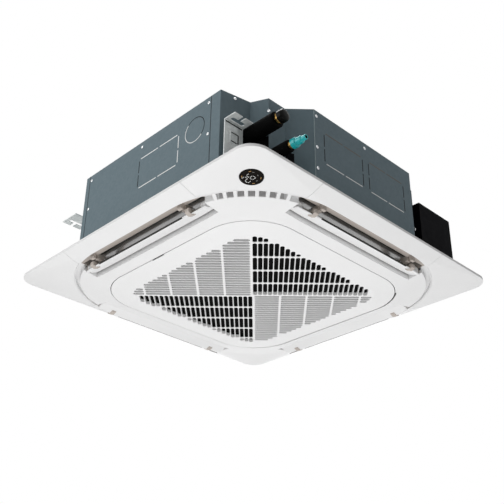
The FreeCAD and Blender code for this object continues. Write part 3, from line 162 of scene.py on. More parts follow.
def turnedMetal(name, color, roughness, rings=900):
    material, tree, shader, place = startFinish(name, color, roughness, metallic=1.0)
    along = 30
    streaks = noise(tree, place, along, detail=4, stretch=(rings / along, 1, rings / along))
    tint(tree, shader, streaks, scaled(color, 0.8), color)
    sheen(tree, shader, streaks, roughness - 0.08, roughness + 0.12)
    relief(tree, shader, streaks, distance=0.0001, strength=0.3, edge=0.0006)
    return material


def wovenMesh(name, color, gap, pitch):
    material, tree, shader, place = startFinish(name, color, roughness=0.7, specular=0.05)
    weave = larger(tree, bands(tree, place, pitch, "X"), bands(tree, place, pitch, "Y"))
    tint(tree, shader, weave, gap, color, low=0.6, high=0.9)
    relief(tree, shader, weave, distance=0.0003, strength=0.6)
    return material


# Bright metal that turns darker towards the top: the darkening is painted shade of the deep outlet
def shadedGuideSheet(name, bright, dark, low, high):
    material, tree, shader, place = startFinish(name, bright, roughness=0.2, metallic=0.85)
    split = tree.nodes.new("ShaderNodeSeparateXYZ")
    tree.links.new(place, split.inputs["Vector"])
    rise = remap(tree, split.outputs["Z"], source=(low, high))
    tint(tree, shader, rise, bright, dark, low=0.05, high=0.8)
    streaks = noise(tree, place, scale=40, stretch=(1, 1, 12))
    sheen(tree, shader, streaks, low=0.16, high=0.24)
    relief(tree, shader, noise(tree, place, scale=7), distance=0.001, strength=0.15)
    return material


def finCoat(name, color, pitch):
    material, tree, shader, place = startFinish(name, color, roughness=0.4, metallic=0.9)
    fins = bands(tree, place, pitch, "DIAGONAL")
    tint(tree, shader, fins, scaled(color, 0.3), color, low=0.2, high=0.8)
    relief(tree, shader, fins, distance=0.0008, strength=0.8)
    return material


def glossLens(name, color):
    material, tree, shader, place = startFinish(name, color, roughness=0.08, specular=0.04)
    shader.inputs["Coat Weight"].default_value = 0.02
    shader.inputs["Coat Roughness"].default_value = 0.04
    cloud = noise(tree, place, scale=220)
    tint(tree, shader, cloud, scaled(color, 0.5), scaled(color, 1.6))
    sheen(tree, shader, noise(tree, place, scale=90), low=0.06, high=0.12)
    return material


def lightSpot(name, color, strength):
    material, tree, shader, place = startFinish(name, color, roughness=0.5)
    tint(tree, shader, noise(tree, place, scale=900), scaled(color, 0.85), color)
    shader.inputs["Emission Color"].default_value = (*color, 1)
    shader.inputs["Emission Strength"].default_value = strength
    return material


finishes = {
    "casing": zincSheet("galvanisedCasing", (0.130, 0.178, 0.201), (0.125, 0.171, 0.194),
                        roughness=0.6, spangle=130, metallic=0.05, specular=0.2),
    "bracket": zincSheet("galvanisedBracket", (0.80, 0.83, 0.82), (0.66, 0.69, 0.69),
                         roughness=0.42, spangle=150, metallic=0.2),
    # painted highlight along the casing's fold
    "foldHighlight": zincSheet("foldPaintedHighlight", (0.30, 0.36, 0.37), (0.26, 0.32, 0.33),
                           roughness=0.5, spangle=200, metallic=0.1, specular=0.3),
    "screw": turnedMetal("zincScrew", (0.78, 0.79, 0.8), roughness=0.3),
    "copper": turnedMetal("copperTube", (0.72, 0.36, 0.2), roughness=0.32, rings=200),
    "brass": turnedMetal("brassNut", (0.72, 0.45, 0.14), roughness=0.28, rings=500),
    "panel": satinPlastic("panelWhite", (0.80, 0.80, 0.80), roughness=0.46, specular=0.25),
    "vane": satinPlastic("vaneWhite", (0.80, 0.80, 0.80), roughness=0.44, specular=0.25),
    "grille": satinPlastic("grilleWhite", (0.82, 0.82, 0.82), roughness=0.46, specular=0.25),
    "pan": satinPlastic("panWhite", (0.72, 0.73, 0.73), roughness=0.6),
    "fan": satinPlastic("fanGrey", (0.5, 0.51, 0.51), roughness=0.5),
    "float": satinPlastic("floatWhite", (0.78, 0.78, 0.74), roughness=0.4),
    "duct": satinPlastic("ductTaupe", (0.48, 0.43, 0.39), roughness=0.5, edge=0.001, spread=0.08),
    "black": satinPlastic("boxBlack", (0.003, 0.003, 0.004), roughness=0.6,
                          edge=0.001, spread=0.3, specular=0.02),
    "capGloss": satinPlastic("capGlossBlack", (0.004, 0.004, 0.004), roughness=0.16,
                             edge=0, spread=0.3, specular=0.06),
    "teal": satinPlastic("plugTeal", (0.012, 0.44, 0.46), roughness=0.25, edge=0, spread=0.03),
    # painted shadow line along the vanes' outer edge
    "edgeShadow": satinPlastic("vaneEdgePaintedShadow", (0.020, 0.019, 0.017), roughness=0.5,
                        edge=0.0004, spread=0.2, specular=0.2),
    # painted shade: the lugs' dark olive
    "lug": satinPlastic("vaneLugPaintedShade", (0.065, 0.058, 0.036), roughness=0.45,
                        edge=0.0006, spread=0.2, specular=0.3),
    # painted shade for narrow slits and gaps
    "slitShade": satinPlastic("slitShadow", (0.012, 0.014, 0.015), roughness=0.6,
                             edge=0.0004, spread=0.3, specular=0.1),
    "slitPale": satinPlastic("slitFoamWhite", (0.80, 0.81, 0.80), roughness=0.6,
                             edge=0.0004, spread=0.06),
    "slitBrown": satinPlastic("slitBareEdge", (0.17, 0.15, 0.13), roughness=0.6,
                              edge=0.0004, spread=0.2, specular=0.2),
    # painted shadow for the plate seams
    "seamShade": satinPlastic("seamShadow", (0.030, 0.036, 0.040), roughness=0.6,
                         edge=0.0004, spread=0.2, specular=0.1),
    "ventShade": satinPlastic("ventShadeGrey", (0.42, 0.41, 0.41), roughness=0.6,
                              edge=0.0004, spread=0.06),
    # painted shade: bright below the lower level, dark above the higher one
    "guide": shadedGuideSheet("guidePaintedShade", (0.95, 0.95, 0.95), (0.28, 0.28, 0.28),
                        low=-0.157, high=-0.141),
    "rubber": foamRubber("sealRubber", (0.012, 0.012, 0.012), cell=500),
    "insulation": foamRubber("pipeInsulation", (0.002, 0.002, 0.002), cell=900, specular=0.03),
    "foam": foamRubber("linerFoam", (0.75, 0.75, 0.73), cell=260),
    "filter": wovenMesh("filterMesh", (0.004, 0.004, 0.004), (0.001, 0.001, 0.001), pitch=0.0016),
    "coil": finCoat("coilFins", (0.5, 0.58, 0.62), pitch=0.0018),
    "lens": glossLens("lensBlack", (0.006, 0.005, 0.004)),
    "glow": lightSpot("digitGlow", (0.85, 0.86, 0.84), strength=0.6),
    "amber": lightSpot("amberGlow", (0.36, 0.20, 0.06), strength=0.15),
    "dimMark": lightSpot("dimMarkGrey", (0.16, 0.16, 0.15), strength=0.1),
}
nodeFinish = {
    "casing": ["top_plate", "side_plate_front", "side_plate_left", "side_plate_back",
               "side_plate_right", "corner_plate_piping", "corner_plate_control",
               "corner_plate_back_right", "corner_plate_back_left"],
    "bracket": ["hanger_bracket_front_left", "hanger_bracket_front_right",
                "hanger_bracket_back_left", "hanger_bracket_back_right", "coil_end_plates"],
    "screw": ["casing_screws", "panel_screws", "motor_shaft", "fan_nut"],
    "panel": ["panel_frame", "corner_cover_front_left", "corner_cover_front_right",
              "corner_cover_back_right", "corner_cover_back_left"],
    "vane": ["vane_front", "vane_right", "vane_back", "vane_left"],
    "grille": ["intake_grille"],
    "lens": ["display_lens"],
    "duct": ["outlet_liners"],
    "guide": ["guide_plates"],
    "black": ["vane_motors", "grille_latch", "bell_mouth", "fan_motor", "pipe_cover",
              "control_box", "control_cover", "terminal_block", "drain_pump", "gas_plug"],
    "rubber": ["panel_gasket", "motor_mounts", "cable_bush"],
    "insulation": ["gas_insulation", "liquid_insulation"],
    "foam": ["foam_liner"],
    "filter": ["air_filter"],
    "pan": ["drain_pan", "drain_socket"],
    "coil": ["heat_exchanger"],
    "copper": ["coil_return_bends", "gas_pipe", "liquid_pipe"],
    "brass": ["gas_flare_nut", "liquid_flare_nut"],
    "teal": ["liquid_plug"],
    "fan": ["turbo_fan"],
    "float": ["float_switch", "float_ring"],
}
for finishName, names in nodeFinish.items():
    for nodeName in names:
        nodes[nodeName].data.materials.clear()
        nodes[nodeName].data.materials.append(finishes[finishName])
print("finishes on the CAD nodes")


# Ways to make a piece: turned from a profile, a bar between two corners, or a slab with an outline

origin, upward = (0, 0, 0), (0, 0, 1)
turnedEdges = {"segments": 3, "sharper": 40, "smooth": 35}  # angles in degrees
flatEdges = {"segments": 2, "sharper": 30}


def pick(piece):
    bpy.ops.object.select_all(action="DESELECT")
    piece.select_set(True)
    bpy.context.view_layer.objects.active = piece


def startPiece(name, addShape, **settings):
    bpy.ops.object.select_all(action="DESELECT")
    addShape(**settings)
    piece = bpy.context.object
    piece.name = name
    return piece


def applyPlace():
    bpy.ops.object.transform_apply(location=True, rotation=True, scale=True)


def closeShell():
    bpy.ops.mesh.select_all(action="SELECT")
    bpy.ops.mesh.normals_make_consistent(inside=False)
    bpy.ops.object.mode_set(mode="OBJECT")


def softenEdges(piece, width, edges):
    bpy.ops.object.modifier_add(type="BEVEL")
    bevel = piece.modifiers[-1]
    bevel.width = width
    bevel.segments = edges["segments"]
    bevel.limit_method = "ANGLE"
    bevel.angle_limit = math.radians(edges["sharper"])
    bpy.ops.object.modifier_apply(modifier=bevel.name)


def setInPlace(piece, spot, way):
    pick(piece)
    piece.location = spot
    piece.rotation_euler = Vector(way).to_track_quat("Z", "Y").to_euler()
    applyPlace()


def turnPiece(piece, axis, degrees):
    pick(piece)
    piece.matrix_world = Matrix.Rotation(math.radians(degrees), 4, axis)
    applyPlace()


def movePiece(piece, spot):
    pick(piece)
    piece.location = spot
    applyPlace()


# The profile is a row of (radius, distance along the axis) pairs
def turnedPiece(name, profile, sides, spot, way, finish, soften=0.0):
    piece = startPiece(name, bpy.ops.mesh.primitive_circle_add, vertices=sides,
                       radius=profile[0][0], fill_type="NGON")
    bpy.ops.object.mode_set(mode="EDIT")
    bpy.ops.mesh.select_mode(type="FACE")
    bpy.ops.mesh.select_all(action="SELECT")
    for (radius, along), (nextRadius, nextAlong) in zip(profile, profile[1:]):
        step = {"value": (0, 0, nextAlong - along)}
        bpy.ops.mesh.extrude_region_move(TRANSFORM_OT_translate=step)
        share = nextRadius / radius
        bpy.ops.transform.resize(value=(share, share, 1), center_override=(0, 0, nextAlong))
    closeShell()
    if soften:
        softenEdges(piece, soften, turnedEdges)
    bpy.ops.object.shade_smooth_by_angle(angle=math.radians(turnedEdges["smooth"]))
    setInPlace(piece, spot, way)
    piece.data.materials.append(finishes[finish])
    return piece


def barPiece(name, low, high, finish, soften=0.0):
    piece = startPiece(name, bpy.ops.mesh.primitive_cube_add, size=1)
    piece.location = [(start + end) / 2 for start, end in zip(low, high)]
    piece.scale = [end - start for start, end in zip(low, high)]
    applyPlace()
    if soften:
        softenEdges(piece, soften, flatEdges)
    piece.data.materials.append(finishes[finish])
    return piece


def spanBar(name, spans, finish, soften):
    low, high = zip(*spans)
    return barPiece(name, low, high, finish, soften)


def centredBar(name, halves, finish, soften):
    return barPiece(name, [-half for half in halves], halves, finish, soften)


# The outline is a row of (reach toward the front, level) pairs
def slabPiece(name, outline, start, end, finish, soften=0.0):
    piece = startPiece(name, bpy.ops.mesh.primitive_circle_add, vertices=len(outline),
                       fill_type="NGON")
    for corner, (reach, level) in zip(piece.data.vertices, outline):
        corner.co = (start, -reach, level)
    bpy.ops.object.mode_set(mode="EDIT")
    bpy.ops.mesh.select_all(action="SELECT")
    bpy.ops.mesh.extrude_region_move(TRANSFORM_OT_translate={"value": (end - start, 0, 0)})
    closeShell()
    if soften:
        softenEdges(piece, soften, flatEdges)
    piece.data.materials.append(finishes[finish])
    return piece


def joinPieces(name, pieces):
    bpy.ops.object.select_all(action="DESELECT")
    for piece in pieces:
        piece.select_set(True)
    bpy.context.view_layer.objects.active = pieces[0]
    bpy.ops.object.join()
    pieces[0].name = name
    return pieces[0]


def spreadCopies(name, first, places):
    copies = []
    for spot, way in places:
        pick(first)
        bpy.ops.object.duplicate(linked=False)
        copies.append(bpy.context.object)
        setInPlace(copies[-1], spot, way)
    bpy.data.objects.remove(first)
    return joinPieces(name, copies)


def finishPiece(piece, slotName, *cadNodes, body="unit"):
    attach(piece, body)
    if cadNodes:
        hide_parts(*cadNodes)


# Pipe ends: insulation, plugs and flare nuts

outward = (0, -1, 0)
pipeEnds = {
    "gas": {"line": -0.338, "level": -0.010, "start": -0.287, "cover": 0.021,
            "coverEnd": -0.423, "bore": 0.0083},
    "liquid": {"line": -0.296, "level": -0.066, "start": -0.325, "cover": 0.016,
               "coverEnd": -0.424, "bore": 0.0051},
}


def onPipe(label, along):
    return (pipeEnds[label]["line"], along, pipeEnds[label]["level"])


sleeve = {"sides": 48, "boreFoot": 0.002, "soften": 0.0022}
for label, end in pipeEnds.items():
    run = end["start"] - end["coverEnd"]
    profile = [(end["cover"], 0), (end["cover"], run), (end["bore"], run),
               (end["bore"], sleeve["boreFoot"])]
    tube = turnedPiece(label + "Insulation", profile, sleeve["sides"],
                       onPipe(label, end["start"]), outward, "insulation", sleeve["soften"])
    finishPiece(tube, "pipe_foam", label + "_insulation")

gasPlug = {"radius": 0.0166, "start": -0.431, "sides": 48,
           "rings": [(0.86, 0), (1, 0.0015), (1, 0.0095), (0.97, 0.0135), (0.86, 0.0168),
                     (0.62, 0.0185), (0.3, 0.019)]}  # share of the radius, distance along
profile = [(gasPlug["radius"] * share, along) for share, along in gasPlug["rings"]]
cap = turnedPiece("gasPlug", profile, gasPlug["sides"], onPipe("gas", gasPlug["start"]),
                  outward, "capGloss")
finishPiece(cap, "part_black", "gas_plug")

liquidPlug = {"start": -0.433, "sides": 40, "soften": 0.0006, "large": 0.0131, "largeEnd": 0.0126,
              "middle": 0.0097, "middleStart": 0.0134, "middleEnd": 0.0290,
              "small": 0.0067, "smallStart": 0.0298, "smallEnd": 0.042,
              "hole": 0.0042, "holeFoot": 0.027, "holeTaper": 0.9, "holeMargin": 1.02}
profile = [(liquidPlug["large"], 0), (liquidPlug["large"], liquidPlug["largeEnd"]),
           (liquidPlug["middle"], liquidPlug["middleStart"]),
           (liquidPlug["middle"], liquidPlug["middleEnd"]),
           (liquidPlug["small"], liquidPlug["smallStart"]),
           (liquidPlug["small"], liquidPlug["smallEnd"]),
           (liquidPlug["hole"], liquidPlug["smallEnd"]),
           (liquidPlug["hole"] * liquidPlug["holeTaper"], liquidPlug["holeFoot"])]
teal = turnedPiece("liquidPlug", profile, liquidPlug["sides"],
                   onPipe("liquid", liquidPlug["start"]), outward, "teal", liquidPlug["soften"])
teal.data.materials.append(finishes["black"])
end = pipeEnds["liquid"]
for face in teal.data.polygons:
    away = math.hypot(face.center.x - end["line"], face.center.z - end["level"])
    if away < liquidPlug["hole"] * liquidPlug["holeMargin"]:
        face.material_index = 1  # the hole's own faces are black
finishPiece(teal, "plug_teal", "liquid_plug")

flareNut = {"gas": {"across": 0.014, "long": 0.008}, "liquid": {"across": 0.0108, "long": 0.009},
            "sides": 6, "edgeShare": 0.1, "edgeSlope": 0.6, "boreFoot": 0.001, "soften": 0.0004}
for label, end in pipeEnds.items():
    across, long = flareNut[label]["across"], flareNut[label]["long"]
    edge = across * flareNut["edgeShare"]
    slope = edge * flareNut["edgeSlope"]
    profile = [(across - edge, 0), (across, slope), (across, long - slope), (across - edge, long),
               (end["bore"], long), (end["bore"], flareNut["boreFoot"])]
    nut = turnedPiece(label + "FlareNut", profile, flareNut["sides"],
                      onPipe(label, end["coverEnd"]), outward, "brass", flareNut["soften"])
    finishPiece(nut, "brass_nut", label + "_flare_nut")
print("pipe ends")


# Screws with a cross recess: the CAD group's heads, and more on the folded corners

screwHead = {"radius": 0.0042, "height": 0.002, "sides": 16,
             "rings": [(1, 0), (1, 0.35), (0.86, 0.75), (0.55, 1)],  # shares of radius and height
             "recess": 0.0019, "recessDeep": 0.0011, "barWide": 0.5, "barLong": 2}


def crossScrew():
    radius, height = screwHead["radius"], screwHead["height"]
    profile = [(radius * share, height * rise) for share, rise in screwHead["rings"]]
    head = turnedPiece("casingScrew", profile, screwHead["sides"], origin, upward, "screw")
    wide = screwHead["recess"] * screwHead["barWide"]
    long = screwHead["recess"] * screwHead["barLong"]
    for across, along in ((wide, long), (long, wide)):
        bar = startPiece("recessBar", bpy.ops.mesh.primitive_cube_add, size=1)
        bar.scale = (across, along, 2 * screwHead["recessDeep"])  # half stands above the head
        bar.location = (0, 0, height)
        applyPlace()
        pick(head)
        bpy.ops.object.modifier_add(type="BOOLEAN")
        cut = head.modifiers[-1]
        cut.operation = "DIFFERENCE"
        cut.object = bar
        bpy.ops.object.modifier_apply(modifier=cut.name)
        bpy.data.objects.remove(bar)
    return head


casingEdge = 0.42
topRow, lowRow, footRow = 0.080, -0.0155, -0.0784
frontSpots = [(0, topRow), (-0.1936, topRow), (-0.1936, lowRow), (-0.1936, footRow)]
sideSpots = [(0, topRow), (-0.2666, topRow), (0.2316, topRow), (-0.2666, lowRow),
             (0.2316, lowRow)]
screwPlaces = []
for sign in (-1, 1):
    screwPlaces += [((along, sign * casingEdge, tall), (0, sign, 0)) for along, tall in frontSpots]
for sign in (-1, 1):
    screwPlaces += [((sign * casingEdge, along, tall), (sign, 0, 0)) for along, tall in sideSpots]
casingScrews = spreadCopies("casingScrews", crossScrew(), screwPlaces)
finishPiece(casingScrews, "screw_steel", "casing_screws")

cornerPlaces = {"earHigh": ((0.2174, -0.4082, 0.008), (0.724, -0.690, 0)),
                "earLow": ((0.2093, -0.4167, -0.082), (0.724, -0.690, 0)),
                "foldHigh": ((-0.3792, -0.3166, 0.088), (-0.183, -0.983, 0)),
                "foldLow": ((-0.3130, -0.3690, 0.058), (-0.902, -0.431, 0))}
cornerScrews = spreadCopies("cornerScrews", crossScrew(), cornerPlaces.values())
finishPiece(cornerScrews, "screw_steel")
print("casing screws:", len(screwPlaces), "and", len(cornerPlaces), "on the corners")


# Edges of the knock-outs: thin strips in their slits, white foam on the lit edges and painted
# shade on the others, with a finish for each edge

stripSoften = 0.0002
knockout = {"bottom": -0.051, "height": 0.095, "slit": 0.0024, "bridge": 0.007,
            "strip": 0.0030, "proud": 0.0002, "thick": 0.0012}
knockoutPlaces = [{"side": "front", "middle": -0.089, "width": 0.155},
                  {"side": "front", "middle": 0.089, "width": 0.155},
                  {"side": "left", "middle": -0.0735, "width": 0.163}]
# Pale strips are the white foam on lit edges; dark strips are painted shade on the others
edgeLightAndShade = {
    "front": {"bottom": "slitPale", "top": "slitBrown", "minus": "slitShade", "plus": "slitShade"},
    "left": {"bottom": "slitPale", "top": "slitPale", "minus": "slitPale", "plus": "slitShade"},
}
edgeStrips = {}


def slitStrip(side, finish, along, level):
    outer = -casingEdge - knockout["proud"]
    face = (outer, outer + knockout["thick"])
    spans = (along, face, level) if side == "front" else (face, along, level)
    strip = spanBar("slitStrip", spans, finish, stripSoften)
    edgeStrips.setdefault(finish, []).append(strip)


slit, bridge, stripWide = knockout["slit"], knockout["bridge"], knockout["strip"]
bottom, height = knockout["bottom"], knockout["height"]
inset = (slit - stripWide) / 2
rise = height / 2 - 1.5 * bridge  # two slits and three bridges on each edge
for opening in knockoutPlaces:
    side, middle, width = opening["side"], opening["middle"], opening["width"]
    look = edgeLightAndShade[side]
    run = width / 2 - 1.5 * bridge
    for sign in (-1, 1):
        mid = middle + sign * (width / 4 - bridge / 4)
        for edge, start in (("bottom", bottom), ("top", bottom + height - slit)):
            low = start + inset
            slitStrip(side, look[edge], (mid - run / 2, mid + run / 2), (low, low + stripWide))
        mid = middle + sign * (width / 2 - slit / 2)
        for start in (bridge, height / 2 + bridge / 2):
            low = bottom + start
            slitStrip(side, look["minus" if sign < 0 else "plus"],
                      (mid - stripWide / 2, mid + stripWide / 2), (low, low + rise))

freshAir = {"radius": 0.0358, "wire": 0.0015, "segments": 96, "wireSegments": 6, "flat": 0.35,
            "spot": (-0.4197, -0.216, 0.024), "litFrom": 135, "litTo": 315}
ring = startPiece("freshAirEdge", bpy.ops.mesh.primitive_torus_add,
                  major_radius=freshAir["radius"], minor_radius=freshAir["wire"],
                  major_segments=freshAir["segments"], minor_segments=freshAir["wireSegments"])
ring.scale = (1, 1, freshAir["flat"])
applyPlace()
setInPlace(ring, freshAir["spot"], (-1, 0, 0))
ring.data.materials.append(finishes["slitShade"])
ring.data.materials.append(finishes["slitPale"])
# The ring is foam white on its lit arc and painted shade on the rest
centre = Vector(freshAir["spot"])
for face in ring.data.polygons:
    around = math.degrees(math.atan2(face.center.z - centre.z, centre.y - face.center.y)) % 360
    face.material_index = 1 if freshAir["litFrom"] < around < freshAir["litTo"] else 0
finishPiece(ring, "casing_steel")
for finish, strips in edgeStrips.items():
    finishPiece(joinPieces("knockoutEdges_" + finish, strips), "casing_steel")


# Painted shadow lines on the casing seams, a painted highlight along the fold, painted shadow
# lines in the near bracket's slits, and a clamp under the liquid pipe

# Dark strips over the plate seams: painted shadow lines
seams = {"spots": (-0.275, 0.240), "half": 0.0013, "sunk": 0.0005, "proud": 0.0002,
         "low": -0.1468, "high": 0.0978}
seamShadowStrips = []
for sign in (-1, 1):
    for along in seams["spots"]:
        reach = sorted((sign * (casingEdge - seams["sunk"]), sign * (casingEdge + seams["proud"])))
        spans = (reach, (along - seams["half"], along + seams["half"]),
                 (seams["low"], seams["high"]))
        seamShadowStrips.append(spanBar("seamShadowStrip", spans, "seamShade", stripSoften))
finishPiece(joinPieces("seamShadowLines", seamShadowStrips), "casing_steel")

# A paler line on the bend of the casing corner: painted highlight
foldBead = {"radius": 0.0009, "sides": 12, "spot": (-0.202, -0.4199, -0.1468), "long": 0.2446}
profile = [(foldBead["radius"], 0), (foldBead["radius"], foldBead["long"])]
fold = turnedPiece("foldBead", profile, foldBead["sides"], foldBead["spot"], upward, "foldHighlight")
finishPiece(fold, "casing_steel")

# Dark strips round the bracket's tab and under its flange fold: painted shadow lines
bracketShadowLines = {"tabTop": [(-0.4030, -0.3770), (-0.3308, -0.3300), (-0.0342, -0.0320)],
                "tabSide": [(-0.3800, -0.3770), (-0.3308, -0.3300), (-0.0580, -0.0320)],
                "tabFoot": [(-0.4030, -0.3830), (-0.3308, -0.3300), (-0.0590, -0.0566)],
                "flangeFold": [(-0.4170, -0.3640), (-0.3282, -0.3275), (-0.0078, -0.0045)]}
slits = [spanBar("bracketShadowLine", spans, "slitShade", stripSoften) for spans in bracketShadowLines.values()]
finishPiece(joinPieces("bracketShadowLines", slits), "bracket_steel")

cableClamp = {"size": (0.020, 0.010, 0.036), "soften": 0.001, "turn": -24.26,
              "spot": (-0.2679, -0.3958, -0.080)}
clamp = centredBar("cableClamp", [side / 2 for side in cableClamp["size"]], "black",
                   cableClamp["soften"])
turnPiece(clamp, "Z", cableClamp["turn"])
movePiece(clamp, cableClamp["spot"])
finishPiece(clamp, "part_black")
print("edges of the casing, bracket slits, cable clamp")


# Trim on the vanes, made at the front and turned: a dark strip of painted shadow along the outer
# edge, round ends, clips, and lugs darkened with painted shade

vaneTurns = {"front": 0, "right": 90, "back": 180, "left": 270}
vaneAxis = {"reach": 0.386, "level": -0.186}
vaneEdge = {"reach": 0.4053, "level": -0.2051, "slope": 30}
edgeShadow = {"half": 0.168, "deep": 0.0014, "tall": 0.0044, "soften": 0.0004}
knuckle = {"radius": 0.010, "start": 0.2215, "long": 0.018, "sides": 32,
           "rings": [(0.8, 0), (0.95, 0.0008), (1, 0.003)]}  # the same from either end
clip = {"start": 0.1862, "end": 0.2002, "soften": 0.0012,
        "outline": [(0.413, -0.193), (0.407, -0.191), (0.389, -0.1985), (0.389, -0.2035),
                    (0.400, -0.2083), (0.413, -0.2045)]}
lug = {"tip": 0.236, "base": 0.2005, "innerTip": 0.120, "innerBase": 0.1695, "inner": 0.4030,
       "outer": 0.4090, "low": -0.2105, "high": -0.2000, "tipShare": 0.15, "atTip": 0.001}


# A thin dark strip along the vane's outer edge: painted shadow line
def vaneShadowLine():
    halves = (edgeShadow["half"], edgeShadow["deep"] / 2, edgeShadow["tall"] / 2)
    strip = centredBar("vaneShadowLine", halves, "edgeShadow", edgeShadow["soften"])
    turnPiece(strip, "X", vaneEdge["slope"])
    movePiece(strip, (0, -vaneEdge["reach"], vaneEdge["level"]))
    return strip


def vaneKnuckles():
    radius, long = knuckle["radius"], knuckle["long"]
    profile = [(radius * share, along) for share, along in knuckle["rings"]]
    profile += [(radius * share, long - along) for share, along in reversed(knuckle["rings"])]
    ends = []
    for sign in (-1, 1):
        spot = (sign * knuckle["start"], -vaneAxis["reach"], vaneAxis["level"])
        ends.append(turnedPiece("vaneKnuckle", profile, knuckle["sides"], spot, (sign, 0, 0),
                                "vane"))
    return joinPieces("vaneKnuckles", ends)


def vaneClips():
    clips = [slabPiece("vaneClip", clip["outline"], sign * clip["start"], sign * clip["end"],
                       "duct", clip["soften"]) for sign in (-1, 1)]
    return joinPieces("vaneClips", clips)


# Each lug is a bar drawn to a point at its tip; its dark olive is painted shade
def vaneLugs(sign):
    lugs = []
    for tip, base in ((-sign * lug["tip"], -sign * lug["base"]),
                      (sign * lug["innerTip"], sign * lug["innerBase"])):
        wedge = barPiece("vaneLug", (min(tip, base), -lug["outer"], lug["low"]),
                         (max(tip, base), -lug["inner"], lug["high"]), "lug")
        for corner in wedge.data.vertices:
            corner.select = abs(corner.co.x - tip) < lug["atTip"]
        bpy.ops.object.mode_set(mode="EDIT")
        bpy.ops.mesh.select_mode(type="VERT")
        bpy.ops.transform.resize(value=(1, lug["tipShare"], lug["tipShare"]),
                                 center_override=(tip, -vaneEdge["reach"], vaneEdge["level"]))
        bpy.ops.object.mode_set(mode="OBJECT")
        lugs.append(wedge)
    return joinPieces("vaneLugs", lugs)


for side, degrees in vaneTurns.items():
    lugSign = 1 if side in ("front", "back") else -1
    trim = {"ShadowLine": (vaneShadowLine(), "part_black"), "Knuckles": (vaneKnuckles(), "vane_white"),
            "Clips": (vaneClips(), "duct_taupe"), "Lugs": (vaneLugs(lugSign), "part_black")}
    for kind, (piece, slotName) in trim.items():
        turnPiece(piece, "Z", degrees)
        piece.name = "vane" + kind + "_" + side
        finishPiece(piece, slotName, body="vane_%s_flap" % side)
print("vane trim")


# Bright lining on the inner wall of each outlet, leaning out as it climbs; painted shade darkens
# it towards the top

lining = {"half": 0.236, "thick": 0.0008, "smooth": 50,
          "face": [(0.3592, -0.1660), (0.3630, -0.1615), (0.3680, -0.1560), (0.3718, -0.1505),
                   (0.3742, -0.1445), (0.3755, -0.1380), (0.3760, -0.1280)]}
backFace = [(reach + lining["thick"], level) for reach, level in reversed(lining["face"])]
for side, degrees in vaneTurns.items():
    sheet = slabPiece("outletLining_" + side, lining["face"] + backFace,
                      -lining["half"], lining["half"], "guide")
    bpy.ops.object.shade_smooth_by_angle(angle=math.radians(lining["smooth"]))
    turnPiece(sheet, "Z", degrees)
    finishPiece(sheet, "guide_bright")
print("outlet linings")


# Grey windows between the ribs in the groove of the display corner: painted shade in the openings

ventWindows = {"centre": -0.177, "radius": 0.2351, "thick": 0.0006, "half": 0.01025,
               "low": -0.1935, "high": -0.1785, "count": 7, "turn": -45,
               "pitch": 0.025, "pitchRadius": 0.262}
windows = []
for index in range(ventWindows["count"]):
    spans = ((-ventWindows["half"], ventWindows["half"]),
             (-ventWindows["radius"] - ventWindows["thick"], -ventWindows["radius"]),
             (ventWindows["low"], ventWindows["high"]))
    window = spanBar("ventWindow", spans, "ventShade", stripSoften)
    fromMiddle = index - (ventWindows["count"] - 1) / 2
    swing = fromMiddle * (ventWindows["pitch"] / ventWindows["pitchRadius"])
    turnPiece(window, "Z", ventWindows["turn"] + math.degrees(swing))
    movePiece(window, (ventWindows["centre"], ventWindows["centre"], 0))
    windows.append(window)
finishPiece(joinPieces("ventWindows", windows), "seal_black")
print("vent windows")


# Display: dotted digits, small marks and lamps on the lens

display = {"centre": (-0.387, -0.387, -0.18154), "facing": (-0.0782, -0.0782, -0.99387),
           "proud": 0.0009, "dot": 0.00080, "pitch": 0.0026, "spacing": 0.0156,
           "shift": (-0.0070, 0.0022), "midColumn": 2, "midRow": 4,
           "dotSides": 10, "dotTop": 0.8, "dotTall": 0.0002, "markDot": 0.0011, "markSpan": 5,
           "marks": [(0.0178, 31), (0.0159, -20), (0.0173, 269)],  # distance out, degrees round
           "lamps": [(0.0205, 55), (0.0223, 130), (0.0218, -53), (0.0226, 237)]}
lensWay = Vector(display["facing"]).normalized()
readingWay = (Vector(outward) - lensWay * lensWay.dot(Vector(outward))).normalized()
riseWay = lensWay.cross(readingWay)
lensFace = Vector(display["centre"]) + lensWay * display["proud"]
segments = {"top": [(1, 8), (2, 8), (3, 8)], "upperLeft": [(0, 5), (0, 6), (0, 7)],
            "upperRight": [(4, 5), (4, 6), (4, 7)], "middle": [(1, 4), (2, 4), (3, 4)],
            "lowerLeft": [(0, 1), (0, 2), (0, 3)], "lowerRight": [(4, 1), (4, 2), (4, 3)],
            "bottom": [(1, 0), (2, 0), (3, 0)]}  # column, row
digits = {"two": ["top", "upperRight", "middle", "lowerLeft", "bottom"],
          "six": ["top", "upperLeft", "middle", "lowerLeft", "lowerRight", "bottom"]}


def displaySpot(across, tall):
    return lensFace + readingWay * across + riseWay * tall


def markSpots(places):
    spots = []
    for distance, angle in places:
        for degrees in (angle - display["markSpan"], angle, angle + display["markSpan"]):
            turned = math.radians(degrees)
            spots.append(displaySpot(distance * math.cos(turned), distance * math.sin(turned)))
    return spots


def dotsAt(name, spots, radius, finish):
    profile = [(radius, 0), (radius * display["dotTop"], display["dotTall"])]
    first = turnedPiece(name, profile, display["dotSides"], origin, upward, finish)
    dots = spreadCopies(name, first, [(spot, lensWay) for spot in spots])
    finishPiece(dots, "lens_black")


